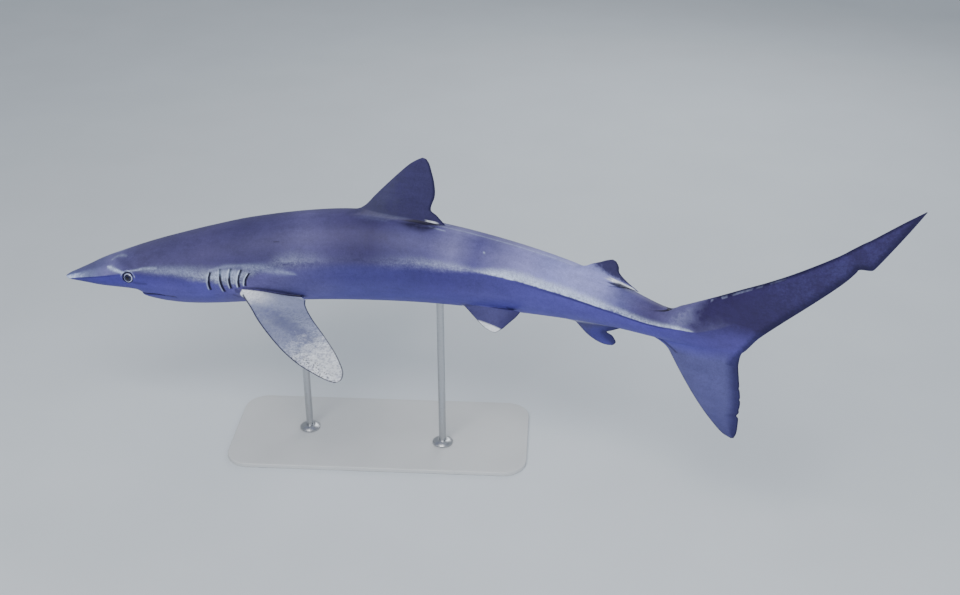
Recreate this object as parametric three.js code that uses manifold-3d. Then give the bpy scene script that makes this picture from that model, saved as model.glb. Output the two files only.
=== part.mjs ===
// A blue shark (Prionace glauca) of about 2.1 m, life size, swimming with its tail swung to its left,
// held up by two rods on a flat base. Millimetres, +Z up, snout towards -X, left side towards -Y.
// The origin is the middle of the underside of the base.
import * as THREE from "three";
import { mergeVertices } from "three/addons/utils/BufferGeometryUtils.js";
import Module from "manifold-3d";

const wasm = await Module();
wasm.setup();

// ---- driving dimensions: body places are shares of the total length, in percent ----

const totalLength = 2100;
const percent = totalLength / 100;

// The swimming bend: heading of the backbone at each tenth of the length, in degrees to the left.
const headings = [0, 0, 0, 1, 12, 23.5, 31, 40, 35, 23, 9];
const noseDown = 2.5; // degrees, the whole fish
const tailRoll = 5; // degrees that the tail's back leans to the left

// Body outline: along, back, belly, half width, level of the widest line, roundness of the belly
// (1 is elliptic, less is flatter).
const bodyStations = [
  [0, -1.95, -2.35, 0.45, -2.15, 0.75],
  [1, -1.6, -2.42, 0.9, -2.0, 0.75],
  [2.5, -1.0, -2.55, 1.55, -1.8, 0.75],
  [5, 0.08, -2.87, 2.45, -1.5, 0.75],
  [9, 1.45, -3.42, 3.15, -1.25, 0.8],
  [9.9, 1.73, -4.27, 3.3, -1.22, 0.83],
  [10.8, 2.0, -4.7, 3.45, -1.2, 0.85],
  [12.6, 2.5, -5.18, 3.7, -1.15, 0.9],
  [15, 3.1, -5.48, 3.95, -1.0, 0.95],
  [18, 3.82, -5.55, 4.15, -0.8, 1],
  [23, 4.85, -5.37, 4.3, -0.4, 1],
  [30, 5.65, -5.25, 4.35, -0.1, 1],
  [36, 5.85, -5.2, 4.25, 0, 1],
  [42, 5.2, -5.0, 3.95, 0, 1],
  [50, 4.45, -4.5, 3.5, 0, 1],
  [56, 3.94, -3.9, 3.0, 0, 1],
  [62, 3.36, -3.2, 2.4, 0, 1],
  [68, 2.5, -2.4, 1.8, 0, 1],
  [74, 1.9, -1.75, 1.25, 0, 1],
];
const noseRounding = 0.8; // length over which the tip of the snout is rounded off

// The upper tail lobe as ribs from its upper margin to its lower one: x, z, x, z, half thickness.
const tailLobeRibs = [
  [76, 2.9, 77, -1.7, 1.0],
  [78.2, 4.15, 80, -1.35, 0.78],
  [80.3, 5.35, 82.5, -0.8, 0.6],
  [82.6, 6.7, 84.5, 1.65, 0.5],
  [84.9, 8.0, 86.8, 4.05, 0.42],
  [87.3, 9.45, 89.1, 6.35, 0.36],
  [89.5, 10.9, 91.2, 8.5, 0.3],
  [91.3, 12.15, 92.5, 9.95, 0.26],
  [92.1, 12.75, 93.2, 10.9, 0.24],
  [92.5, 13.1, 93.4, 11.22, 0.23],
  [93.6, 14.0, 94.5, 11.3, 0.2],
  [94.1, 14.35, 94.8, 11.6, 0.19],
  [95.2, 15.25, 96.0, 13.5, 0.16],
  [96.8, 16.55, 97.35, 15.75, 0.12],
  [98.4, 17.75, 98.45, 17.7, 0.05],
];

// Upright fins as ribs from the root, inside the body, to the tip:
// front edge x, z, rear edge x, z, half thickness.
const firstDorsalRibs = [
  [35.6, 4.2, 41.8, 4.2, 0.6],
  [34.6, 5.75, 42.1, 5.15, 0.56],
  [36.2, 6.35, 46.15, 5.0, 0.46],
  [36.94, 6.88, 45.2, 6.05, 0.42],
  [37.93, 7.92, 44.52, 6.7, 0.36],
  [39.49, 9.42, 45.15, 8.45, 0.3],
  [41.2, 11.0, 45.22, 10.0, 0.24],
  [42.45, 12.06, 45.02, 11.3, 0.18],
  [43.4, 12.65, 44.8, 12.3, 0.13],
  [44.0, 12.93, 44.5, 12.82, 0.06],
];
const secondDorsalRibs = [
  [63.2, 2.4, 66.0, 2.2, 0.36],
  [62.7, 3.25, 66.4, 2.8, 0.34],
  [63.9, 3.8, 70.6, 2.65, 0.27],
  [64.6, 4.22, 69.0, 3.42, 0.24],
  [65.6, 4.68, 68.1, 4.15, 0.19],
  [66.5, 5.15, 68.05, 4.85, 0.13],
  [67.2, 5.43, 67.75, 5.36, 0.06],
];
const analRibs = [
  [61.9, -2.4, 65.0, -2.2, 0.36],
  [61.6, -3.3, 65.4, -2.85, 0.34],
  [62.1, -3.65, 67.9, -2.65, 0.28],
  [62.75, -4.2, 66.8, -3.3, 0.25],
  [63.5, -4.78, 66.1, -3.7, 0.2],
  [64.5, -5.22, 66.75, -3.9, 0.16],
  [65.4, -5.38, 67.05, -4.2, 0.13],
  [66.1, -5.33, 67.25, -4.6, 0.1],
  [66.7, -5.17, 66.95, -5.03, 0.05],
];
const lowerLobeRibs = [
  [74.4, -0.9, 81.6, 0.6, 0.62],
  [73.2, -1.7, 82.35, -1.0, 0.6],
  [74.2, -2.95, 82.35, -2.4, 0.46],
  [75.5, -5.1, 82.45, -4.0, 0.38],
  [77.05, -7.4, 82.6, -6.4, 0.28],
  [78.4, -9.07, 82.45, -8.1, 0.2],
  [79.6, -10.3, 82.35, -9.6, 0.14],
  [80.6, -11.1, 82.2, -10.6, 0.1],
  [81.5, -11.38, 81.9, -11.3, 0.05],
];

// Paired fins lie in a plane that droops outwards and rises backwards by its incidence. Near the
// body the pectoral fin is twisted: its rear edge lies lower than its front edge.
// Their ribs: front edge span, back, rear edge span, back, half thickness.
const pectoral = {
  root: [22.6, 3.6, -2.9],
  droop: 8,
  incidence: 0,
  twist: 0.8,
  ribs: [
    [-1.6, -0.2, -1.6, 5.0, 0.75],
    [-0.3, -0.9, -0.3, 6.0, 0.75],
    [0.75, -0.48, 0.4, 6.62, 0.72],
    [1.5, 0.0, 1.3, 6.75, 0.62],
    [2.7, 0.76, 2.6, 7.22, 0.46],
    [5.1, 2.1, 5.1, 8.36, 0.34],
    [7.8, 3.85, 8.05, 10.1, 0.28],
    [10.4, 5.77, 10.6, 11.52, 0.24],
    [12.6, 7.75, 12.5, 12.4, 0.19],
    [14.15, 9.6, 13.95, 12.92, 0.14],
    [15.0, 10.75, 14.85, 13.0, 0.11],
    [15.5, 11.6, 15.4, 12.85, 0.08],
    [15.72, 12.15, 15.68, 12.5, 0.05],
  ],
};
const pelvic = {
  root: [48.5, 2.2, -3.8],
  droop: 42,
  incidence: 10,
  twist: 0,
  ribs: [
    [-1.6, 0.6, -1.6, 4.6, 0.3],
    [-1.0, 0.2, -1.0, 5.3, 0.29],
    [-0.7, 0.1, -0.75, 8.0, 0.26],
    [-0.1, 0.45, -0.35, 7.95, 0.23],
    [0.38, 1.26, 0.3, 7.6, 0.2],
    [1.1, 2.45, 1.05, 7.0, 0.16],
    [1.82, 3.66, 1.75, 6.45, 0.12],
    [2.2, 4.6, 2.15, 6.0, 0.09],
    [2.38, 5.35, 2.38, 5.65, 0.05],
  ],
};

const eye = { along: 8.6, level: -1.0, radius: 20, depth: 15 };
const gills = {
  // upper end: along, level; lower end: along, level
  slits: [
    [18.6, 0.15, 18.3, -2.2],
    [19.8, 0.55, 19.9, -2.5],
    [21.05, 0.6, 20.75, -2.0],
    [22.25, 0.5, 21.7, -1.85],
    [23.15, 0.1, 22.45, -1.65],
  ],
  bow: 0.2,
  width: 3,
  depth: 5,
};
const mouth = { front: 8.7, corner: 12.6, halfWidth: 3.2, line: -2.9, gap: 1 };
const jawEnd = { along: 15, level: -4.3 };
const nostril = { along: 5.6, side: 1.75, length: 20, width: 3, depth: 5, slant: 35 };
const tailPit = { along: 74.4, length: 20, width: 30, depth: 4 };

const cuts = { headEnd: 17.2, gillEnd: 24.6, shoulderEnd: 36, backEnd: 50, rearEnd: 62, stemEnd: 74 };
const partingGap = 0.3;

const stand = {
  length: 760,
  width: 320,
  thickness: 12,
  cornerRadius: 60,
  bevel: 2,
  rodRadius: 9,
  rods: { front: 28, rear: 45 },
  collarRadius: 26,
  collarHeight: 12,
  bellyHeight: 400, // the underside of the belly above the floor
  centre: 37, // the body station that stands over the middle of the base
};

const bodySides = 24;
const finSides = 16;
const foil = { widest: 0.3, pinch: 0.8 }; // a fin's section, thickest at 30% of its chord

// ---- curves and sections ----

// A smooth curve through points of growing x, given as [x, y] pairs.
function curveThrough(points) {
  const slope = points.map((p, i) => {
    const a = points[Math.max(i - 1, 0)];
    const b = points[Math.min(i + 1, points.length - 1)];
    return (b[1] - a[1]) / (b[0] - a[0]);
  });
  return (x) => {
    let i = 0;
    while (i < points.length - 2 && x > points[i + 1][0]) i++;
    const [x0, y0] = points[i];
    const [x1, y1] = points[i + 1];
    const h = x1 - x0;
    const t = THREE.MathUtils.clamp((x - x0) / h, 0, 1);
    const t2 = t * t;
    const t3 = t2 * t;
    return (
      (2 * t3 - 3 * t2 + 1) * y0 +
      (t3 - 2 * t2 + t) * h * slope[i] +
      (3 * t2 - 2 * t3) * y1 +
      (t3 - t2) * h * slope[i + 1]
    );
  };
}

const heading = curveThrough(headings.map((h, i) => [i * 10, h]));
const column = (k) => curveThrough(bodyStations.map((row) => [row[0], row[k]]));
const body = {
  back: column(1),
  belly: column(2),
  halfWidth: column(3),
  level: column(4),
  roundness: column(5),
};

// The backbone's line at every half percent, found by stepping along its heading.
const spineStep = 0.5;
const spine = [];
{
  const pitch = THREE.MathUtils.degToRad(noseDown);
  const at = new THREE.Vector3();
  for (let s = 0; s <= 100; s += spineStep) {
    const turn = THREE.MathUtils.degToRad(heading(s));
    const along = new THREE.Vector3(
      Math.cos(pitch) * Math.cos(turn),
      -Math.cos(pitch) * Math.sin(turn),
      Math.sin(pitch),
    );
    if (s > 0) {
      const before = spine[spine.length - 1].along;
      at.addScaledVector(before.clone().add(along), (spineStep * percent) / 2);
    }
    const left = along.clone().cross(new THREE.Vector3(0, 0, 1)).normalize();
    const up = left.clone().cross(along);
    const lean = THREE.MathUtils.degToRad(tailRoll * Math.min(s / 75, 1) ** 1.5);
    left.applyAxisAngle(along, lean);
    up.applyAxisAngle(along, lean);
    spine.push({ at: at.clone(), along, left, up });
  }
}

// The backbone's place and directions at a station in percent.
function spineAt(station) {
  const s = THREE.MathUtils.clamp(station / spineStep, 0, spine.length - 1.001);
  const i = Math.floor(s);
  const mix = (key) => spine[i][key].clone().lerp(spine[i + 1][key], s - i);
  return { at: mix("at"), along: mix("along"), left: mix("left"), up: mix("up") };
}

// A point of the straight fish, in percent (along, to its left, up), as a point of the bent fish in mm.
function bend(along, leftwards, upwards) {
  const f = spineAt(along);
  return f.at.addScaledVector(f.left, leftwards * percent).addScaledVector(f.up, upwards * percent);
}

// One rib's outline: a ring of [share of the way from the first edge to the second, half thickness share].
// The widest line lies at widest. Beyond it the outline is rounded by roundness, and pinch thins it to a web.
function ribOutline(sides, { widest, roundness = 1, pinch = 0 }) {
  const ring = [];
  for (let i = 0; i < sides; i++) {
    const angle = (2 * Math.PI * i) / sides;
    const c = Math.cos(angle);
    const beyond = Math.max(-c, 0);
    const share = c > 0 ? widest * (1 - c) : widest + (1 - widest) * beyond ** roundness;
    const thin = 1 - pinch * beyond ** 2 * (3 - 2 * beyond);
    ring.push([share, Math.sin(angle) * thin]);
  }
  return ring;
}

// A closed surface through rings of points, with a flat or pointed cap at each end.
function loft(rings) {
  const n = rings[0].length;
  const points = rings.flat();
  const faces = [];
  for (let r = 0; r + 1 < rings.length; r++)
    for (let i = 0; i < n; i++) {
      const a = r * n + i;
      const b = r * n + ((i + 1) % n);
      faces.push(a, b, b + n, a, b + n, a + n);
    }
  for (const r of [0, rings.length - 1]) {
    const hub = points.length;
    const centre = new THREE.Vector3();
    rings[r].forEach((p) => centre.addScaledVector(p, 1 / n));
    points.push(centre);
    for (let i = 0; i < n; i++) {
      const a = r * n + i;
      const b = r * n + ((i + 1) % n);
      if (r === 0) faces.push(hub, b, a);
      else faces.push(hub, a, b);
    }
  }
  return new THREE.BufferGeometry().setFromPoints(points).setIndex(faces);
}

// A geometry as a solid for joining and cutting, turned to face outwards.
function solidOf(geometry) {
  const bare = new THREE.BufferGeometry();
  const whole = geometry.index ? geometry.toNonIndexed() : geometry;
  bare.setAttribute("position", whole.getAttribute("position"));
  const merged = mergeVertices(bare, 1e-3);
  const vertProperties = merged.attributes.position.array;
  const make = (triVerts) => new wasm.Manifold(new wasm.Mesh({ numProp: 3, vertProperties, triVerts }));
  const corners = new Uint32Array(merged.index.array);
  const made = make(corners);
  return made.volume() > 0 ? made : make(corners.reverse());
}

function geometryOf(solid) {
  const { vertProperties, triVerts, numProp, numVert } = solid.getMesh();
  const positions = new Float32Array(numVert * 3);
  for (let i = 0; i < numVert; i++)
    positions.set(vertProperties.subarray(i * numProp, i * numProp + 3), i * 3);
  const made = new THREE.BufferGeometry();
  made.setAttribute("position", new THREE.BufferAttribute(positions, 3));
  made.setIndex(new THREE.BufferAttribute(new Uint32Array(triVerts), 1));
  return made;
}

// ---- the body ----

// The ring of the body at a station, grown outwards by some millimetres.
function bodyRing(station, grow = 0) {
  const round = Math.sqrt(1 - (1 - Math.min((station + 0.02) / noseRounding, 1)) ** 2);
  const level = body.level(station);
  const extra = grow / percent;
  const back = level + (body.back(station) - level) * round + extra;
  const belly = level + (body.belly(station) - level) * round - extra;
  const half = body.halfWidth(station) * round + extra;
  const shape = { widest: (back - level) / (back - belly), roundness: body.roundness(station) };
  return ribOutline(bodySides, shape).map(([share, side]) =>
    bend(station, side * half, THREE.MathUtils.lerp(back, belly, share)),
  );
}

// A rib of the upper tail lobe: round at the stem, then thick near its upper margin with a thin web below.
function tailRing([ax, az, bx, bz, half], index, grow = 0) {
  const drawnOut = Math.min((index + 1) / 3, 1);
  const shape = {
    widest: THREE.MathUtils.lerp(0.48, 0.24, drawnOut),
    pinch: THREE.MathUtils.lerp(0.1, 0.85, drawnOut),
  };
  const extra = grow / percent;
  const stretch = extra / Math.hypot(bx - ax, bz - az);
  return ribOutline(bodySides, shape).map(([share, side]) => {
    const wide = THREE.MathUtils.lerp(-stretch, 1 + stretch, share);
    return bend(
      THREE.MathUtils.lerp(ax, bx, wide),
      side * (half + extra),
      THREE.MathUtils.lerp(az, bz, wide),
    );
  });
}

// Stations from one to another, close together at the snout.
function stationsBetween(from, to) {
  const stations = [];
  const noseEnd = 6;
  if (from < noseEnd) for (let i = 0; i < 8; i++) stations.push(noseEnd * (i / 8) ** 2);
  const start = Math.max(from, noseEnd);
  const count = Math.ceil((to - start) / 1.7);
  for (let i = 0; i <= count; i++) stations.push(start + ((to - start) * i) / count);
  return stations;
}

function bodyPiece(from, to, grow = 0) {
  return solidOf(loft(stationsBetween(from, to).map((s) => bodyRing(s, grow))));
}

function upperTailLobe(from, grow = 0) {
  const rings = tailLobeRibs.map((rib, i) => tailRing(rib, i, grow));
  return solidOf(loft([bodyRing(from, grow), ...rings]));
}

// ---- fins ----

function uprightFin(ribs) {
  const rings = ribs.map(([ax, az, bx, bz, half]) =>
    ribOutline(finSides, foil).map(([share, side]) =>
      bend(THREE.MathUtils.lerp(ax, bx, share), side * half, THREE.MathUtils.lerp(az, bz, share)),
    ),
  );
  return solidOf(loft(rings));
}

// side is 1 for the left fin and -1 for the right one.
function pairedFin({ root, droop, incidence, twist, ribs }, side) {
  const base = spineAt(root[0] + 3);
  const fall = THREE.MathUtils.degToRad(droop);
  const rise = Math.tan(THREE.MathUtils.degToRad(incidence));
  const rings = ribs.map(([aSpan, aBack, bSpan, bBack, half]) =>
    ribOutline(finSides, foil).map(([share, thick]) => {
      const span = THREE.MathUtils.lerp(aSpan, bSpan, share);
      const back = THREE.MathUtils.lerp(aBack, bBack, share);
      const twisted = twist * THREE.MathUtils.clamp((back - 1.6) / 5.2, -0.5, 1.1);
      const faded = 1 - THREE.MathUtils.smoothstep(span, 0, 6);
      const above = back * rise - twisted * faded - thick * half;
      const out = root[1] + span * Math.cos(fall) + above * Math.sin(fall);
      const up = root[2] - span * Math.sin(fall) + above * Math.cos(fall);
      return base.at
        .clone()
        .addScaledVector(base.along, (back - 3) * percent)
        .addScaledVector(base.left, side * out * percent)
        .addScaledVector(base.up, up * percent);
    }),
  );
  return solidOf(loft(rings));
}

// ---- head details ----

// Half the width of the body at a level, for placing what sits on its side.
function sideAt(station, level) {
  const widest = body.level(station);
  const reach = level > widest ? body.back(station) - widest : widest - body.belly(station);
  return body.halfWidth(station) * Math.sqrt(1 - ((level - widest) / reach) ** 2);
}

// The place and outward direction of the body's side.
function sideFrame(station, level, side) {
  const step = 0.2;
  const at = bend(station, side * sideAt(station, level), level);
  const along = bend(station + step, side * sideAt(station + step, level), level).sub(at);
  const up = bend(station, side * sideAt(station, level + step), level + step).sub(at);
  const out = along.clone().cross(up).normalize().multiplyScalar(side);
  return { at, out };
}

function ball(radius, at, segments = 16) {
  const made = new THREE.SphereGeometry(radius, segments, segments / 2);
  return solidOf(made.translate(at.x, at.y, at.z));
}

function eyeCentre(side) {
  const { at, out } = sideFrame(eye.along, eye.level, side);
  return at.addScaledVector(out, -eye.depth);
}

// A thin blade bowed forwards that follows the side of the body, as the cutter of one gill slit.
function gillBlade([topAlong, top, lowAlong, low], side) {
  const steps = 4;
  const rings = [];
  for (let i = 0; i <= steps; i++) {
    const t = i / steps;
    const level = THREE.MathUtils.lerp(top, low, t);
    const swept = THREE.MathUtils.lerp(topAlong, lowAlong, t) - gills.bow * Math.sin(Math.PI * t);
    const half = (gills.width / 2 / percent) * Math.sqrt(Math.sin(Math.PI * (0.08 + 0.84 * t)));
    const surface = sideAt(swept, level);
    const inside = surface - gills.depth / percent;
    const outside = surface + 0.4;
    rings.push([
      bend(swept - half, side * inside, level),
      bend(swept - half, side * outside, level),
      bend(swept + half, side * outside, level),
      bend(swept + half, side * inside, level),
    ]);
  }
  return solidOf(loft(rings));
}

// The mouth's line seen from below: half width at a station, from its front to its corner.
function mouthHalfWidth(station) {
  const t = THREE.MathUtils.clamp((station - mouth.front) / (mouth.corner - mouth.front), 0, 1);
  return mouth.halfWidth * Math.sqrt(1 - (1 - t) ** 2);
}

// The block that holds the lower jaw: its ceiling is the mouth's line, and falls away behind the corners.
function jawBlock(grow) {
  const extra = grow / percent;
  const section = (station, half, ceiling) => [
    bend(station, -half - extra, ceiling + extra),
    bend(station, half + extra, ceiling + extra),
    bend(station, half + extra, -8),
    bend(station, -half - extra, -8),
  ];
  const steps = 8;
  const cheek = 0.12;
  const rings = [section(mouth.front - extra, cheek, mouth.line)];
  for (let i = 1; i <= steps; i++) {
    const station = mouth.front + (mouth.corner - mouth.front) * (i / steps) ** 2;
    rings.push(section(station, mouthHalfWidth(station) + cheek, mouth.line));
  }
  rings.push(section(jawEnd.along + extra, mouth.halfWidth + cheek, jawEnd.level));
  return solidOf(loft(rings));
}

function nostrilCutter(side) {
  const made = new THREE.CapsuleGeometry(nostril.width / 2, nostril.length - nostril.width, 3, 8);
  made.scale(1, 1, (2 * nostril.depth) / nostril.width);
  made.rotateZ(THREE.MathUtils.degToRad(side * (90 - nostril.slant)));
  const level = body.belly(nostril.along) * 0.95;
  const at = bend(nostril.along, side * nostril.side, level);
  return solidOf(made.translate(at.x, at.y, at.z));
}

// The crescent dent in front of the tail fin, above or below the stem.
function pitCutter(edge) {
  const made = new THREE.SphereGeometry(0.5, 10, 6);
  made.scale(tailPit.length, tailPit.width, 2 * tailPit.depth);
  const { along } = spineAt(tailPit.along);
  made.rotateZ(Math.atan2(along.y, along.x));
  const at = bend(tailPit.along, 0, edge(tailPit.along));
  return solidOf(made.translate(at.x, at.y, at.z));
}

// ---- assembly ----

const colours = {
  back: { color: 0x5a5f7c, roughness: 0.45, metalness: 0 },
  fin: { color: 0x4d5274, roughness: 0.5, metalness: 0 },
  pale: { color: 0xa9adbb, roughness: 0.5, metalness: 0 },
  eye: { color: 0x14161c, roughness: 0.08, metalness: 0 },
  base: { color: 0xb9bbbd, roughness: 0.6, metalness: 0 },
  steel: { color: 0xa5a8ab, roughness: 0.3, metalness: 1 },
};
const shark = new THREE.Group();
const sides = [["left", 1], ["right", -1]];

function add(name, solid, finish) {
  const mesh = new THREE.Mesh(geometryOf(solid), new THREE.MeshStandardMaterial(finish));
  mesh.name = name;
  shark.add(mesh);
}

// Everything is built from the backbone's front end; the floor lies below the belly.
const floor = body.belly(stand.rods.front) * percent + spineAt(stand.rods.front).at.z - stand.bellyHeight;
const middle = spineAt(stand.centre).at;
shark.position.set(-middle.x, -middle.y, -floor);

// The whole body a little too large: fins and rods are cut back to it, which leaves them the parting gap.
const grownBody = solidOf(
  loft([
    ...stationsBetween(0, cuts.stemEnd).map((s) => bodyRing(s, partingGap)),
    ...tailLobeRibs.map((rib, i) => tailRing(rib, i, partingGap)),
  ]),
);

// The largest piece left when a fin is cut back to the body.
function outside(fin) {
  const pieces = fin.subtract(grownBody).decompose();
  return pieces.reduce((a, b) => (a.volume() > b.volume() ? a : b));
}

function addHead() {
  let head = bodyPiece(0, cuts.headEnd - partingGap / percent);
  const jaw = head.intersect(jawBlock(0));
  head = head.subtract(jawBlock(mouth.gap));
  for (const [name, side] of sides) {
    head = head.subtract(ball(eye.radius + partingGap, eyeCentre(side)));
    head = head.subtract(nostrilCutter(side));
    add("eye_" + name, ball(eye.radius, eyeCentre(side)), colours.eye);
  }
  add("head", head, colours.back);
  add("lower_jaw", jaw, colours.pale);
}

function addTrunk() {
  const lengths = [
    ["gill_region", cuts.headEnd, cuts.gillEnd],
    ["trunk_shoulder", cuts.gillEnd, cuts.shoulderEnd],
    ["trunk_back", cuts.shoulderEnd, cuts.backEnd],
    ["trunk_rear", cuts.backEnd, cuts.rearEnd],
    ["tail_stem", cuts.rearEnd, cuts.stemEnd],
  ];
  const slits = sides.flatMap(([, side]) => gills.slits.map((slit) => gillBlade(slit, side)));
  for (const [name, from, to] of lengths) {
    let piece = bodyPiece(from, to - partingGap / percent);
    if (name === "gill_region") for (const slit of slits) piece = piece.subtract(slit);
    add(name, piece, colours.back);
  }
}

function addTail() {
  const whole = upperTailLobe(cuts.stemEnd);
  const pitted = whole.subtract(pitCutter(body.back)).subtract(pitCutter(body.belly));
  add("tail_lobe_upper", pitted, colours.fin);
  add("tail_lobe_lower", outside(uprightFin(lowerLobeRibs)), colours.fin);
}

function addFins() {
  add("dorsal_fin_first", outside(uprightFin(firstDorsalRibs)), colours.fin);
  add("dorsal_fin_second", outside(uprightFin(secondDorsalRibs)), colours.fin);
  add("anal_fin", outside(uprightFin(analRibs)), colours.fin);
  for (const [name, side] of sides) {
    add("pectoral_fin_" + name, outside(pairedFin(pectoral, side)), colours.pale);
    add("pelvic_fin_" + name, outside(pairedFin(pelvic, side)), colours.pale);
  }
}

function addBase() {
  const x = stand.length / 2;
  const y = stand.width / 2;
  const r = stand.cornerRadius;
  const outline = new THREE.Shape();
  outline.absarc(x - r, y - r, r, 0, Math.PI / 2);
  outline.absarc(r - x, y - r, r, Math.PI / 2, Math.PI);
  outline.absarc(r - x, r - y, r, Math.PI, 1.5 * Math.PI);
  outline.absarc(x - r, r - y, r, 1.5 * Math.PI, 2 * Math.PI);
  const plate = new THREE.ExtrudeGeometry(outline, {
    depth: stand.thickness - 2 * stand.bevel,
    bevelThickness: stand.bevel,
    bevelSize: stand.bevel,
    bevelOffset: -stand.bevel,
    bevelSegments: 1,
    curveSegments: 5,
  });
  plate.translate(middle.x, middle.y, floor + stand.bevel);
  add("stand_base", solidOf(plate), colours.base);
}

function addRod(name, station) {
  const top = spineAt(station).at;
  const bottom = floor + stand.thickness;
  const rod = new THREE.CylinderGeometry(stand.rodRadius, stand.rodRadius, top.z - bottom, 20);
  rod.rotateX(Math.PI / 2).translate(top.x, top.y, (top.z + bottom) / 2);
  add("stand_rod_" + name, solidOf(rod).subtract(grownBody), colours.steel);

  const inner = stand.rodRadius + partingGap;
  const profile = [
    [inner, 0],
    [stand.collarRadius, 0],
    [stand.collarRadius, stand.collarHeight * 0.4],
    [inner + 3, stand.collarHeight],
    [inner, stand.collarHeight],
    [inner, 0],
  ];
  const collar = new THREE.LatheGeometry(profile.map(([r, z]) => new THREE.Vector2(r, z)), 20);
  collar.rotateX(Math.PI / 2).translate(top.x, top.y, bottom);
  add("stand_collar_" + name, solidOf(collar), colours.steel);
}

addHead();
addTrunk();
addTail();
addFins();
addBase();
for (const [name, station] of Object.entries(stand.rods)) addRod(name, station);

const model = new THREE.Group();
model.add(shark);

export default model;
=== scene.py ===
# Looks of the blue shark display model: one skin over the whole fish, two eyes, and the stand.
import math

import bmesh
import bpy
import numpy as np
from mathutils import Matrix, Vector


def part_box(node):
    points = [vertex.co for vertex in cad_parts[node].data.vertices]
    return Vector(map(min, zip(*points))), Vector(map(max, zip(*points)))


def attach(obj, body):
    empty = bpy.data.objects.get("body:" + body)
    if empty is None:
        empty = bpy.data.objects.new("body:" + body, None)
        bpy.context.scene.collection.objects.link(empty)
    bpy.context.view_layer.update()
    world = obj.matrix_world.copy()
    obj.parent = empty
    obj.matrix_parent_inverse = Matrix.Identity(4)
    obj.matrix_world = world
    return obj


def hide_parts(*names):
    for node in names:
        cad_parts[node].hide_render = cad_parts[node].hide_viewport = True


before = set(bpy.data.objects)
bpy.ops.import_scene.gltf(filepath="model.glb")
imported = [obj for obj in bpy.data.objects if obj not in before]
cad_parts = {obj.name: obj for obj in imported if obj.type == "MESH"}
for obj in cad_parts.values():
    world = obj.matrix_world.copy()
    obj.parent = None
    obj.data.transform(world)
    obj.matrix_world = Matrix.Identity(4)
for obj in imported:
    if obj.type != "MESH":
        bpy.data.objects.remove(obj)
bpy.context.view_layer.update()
print("frame loaded")

# The camera

view = {  # metres, degrees and millimetres
    "position": (0.4443, -2.8350, 1.9464),
    "azimuth": 3.764,
    "elevation": 28.296,
    "roll": -0.188,
    "lens": 49.54,
}


# A mesh or another thing as an object of the scene, under its own name.
def linked(thing):
    made = bpy.data.objects.new(thing.name, thing)
    bpy.context.scene.collection.objects.link(made)
    return made


def makeCamera():
    a, e, k = (math.radians(view[name]) for name in ("azimuth", "elevation", "roll"))
    ahead = Vector((-math.sin(a) * math.cos(e), math.cos(a) * math.cos(e), -math.sin(e)))
    right = ahead.cross(Vector((0, 0, 1))).normalized()
    up = right.cross(ahead)
    rolledRight = right * math.cos(k) + up * math.sin(k)
    rolledUp = up * math.cos(k) - right * math.sin(k)
    camera = linked(bpy.data.cameras.new("camera"))
    camera.matrix_world = Matrix.Translation(view["position"]) @ Matrix(
        (rolledRight, rolledUp, -ahead)
    ).transposed().to_4x4()
    camera.data.lens = view["lens"]
    camera.data.clip_end = 200
    bpy.context.scene.camera = camera


makeCamera()
print("camera placed")

# Points of the straight fish are (along, left, up) in percent of its length. The swimming bend
# carries them to metres in the frame.

percent = 0.021  # metres

swim = {
    "headings": [0, 0, 0, 1, 12, 23.5, 31, 40, 35, 23, 9],  # degrees to the left, each tenth
    "noseDown": 2.5,
    "tailRoll": 5,
    "place": (-0.7757405, 0.0109749, 0.4852631),
}


def ease(t):
    return t * t * (3 - 2 * t)


# A cubic from start to end, leaving and arriving at the given speeds.
def hermite(start, leave, end, arrive, t):
    rise = ease(t)
    return start * (1 - rise) + end * rise + leave * (t * (1 - t) ** 2) + arrive * (t * t * (t - 1))


# A smooth curve through rows of values at growing knots.
def curveThrough(knots, values):
    knots, values = np.asarray(knots, float), np.asarray(values, float)
    slopes = np.empty_like(values)
    gaps = np.diff(knots).reshape((-1,) + (1,) * (values.ndim - 1))
    slopes[1:-1] = (values[2:] - values[:-2]) / (gaps[1:] + gaps[:-1])
    slopes[0] = (values[1] - values[0]) / gaps[0]
    slopes[-1] = (values[-1] - values[-2]) / gaps[-1]

    def at(x):
        x = np.asarray(x, float)
        i = np.clip(np.searchsorted(knots, x, side="right") - 1, 0, len(knots) - 2)
        h = knots[i + 1] - knots[i]
        t = np.clip((x - knots[i]) / h, 0, 1)
        if values.ndim > 1:
            h, t = h[..., None], t[..., None]
        return hermite(values[i], slopes[i] * h, values[i + 1], slopes[i + 1] * h, t)

    return at


def smooth(low, high, x):
    return ease(np.clip((np.asarray(x, float) - low) / (high - low), 0, 1))


def bump(x, centre, width):
    return np.exp(-(((x - centre) / width) ** 2))


def unit(v):
    return v / np.maximum(np.linalg.norm(v, axis=-1, keepdims=True), 1e-12)


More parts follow.
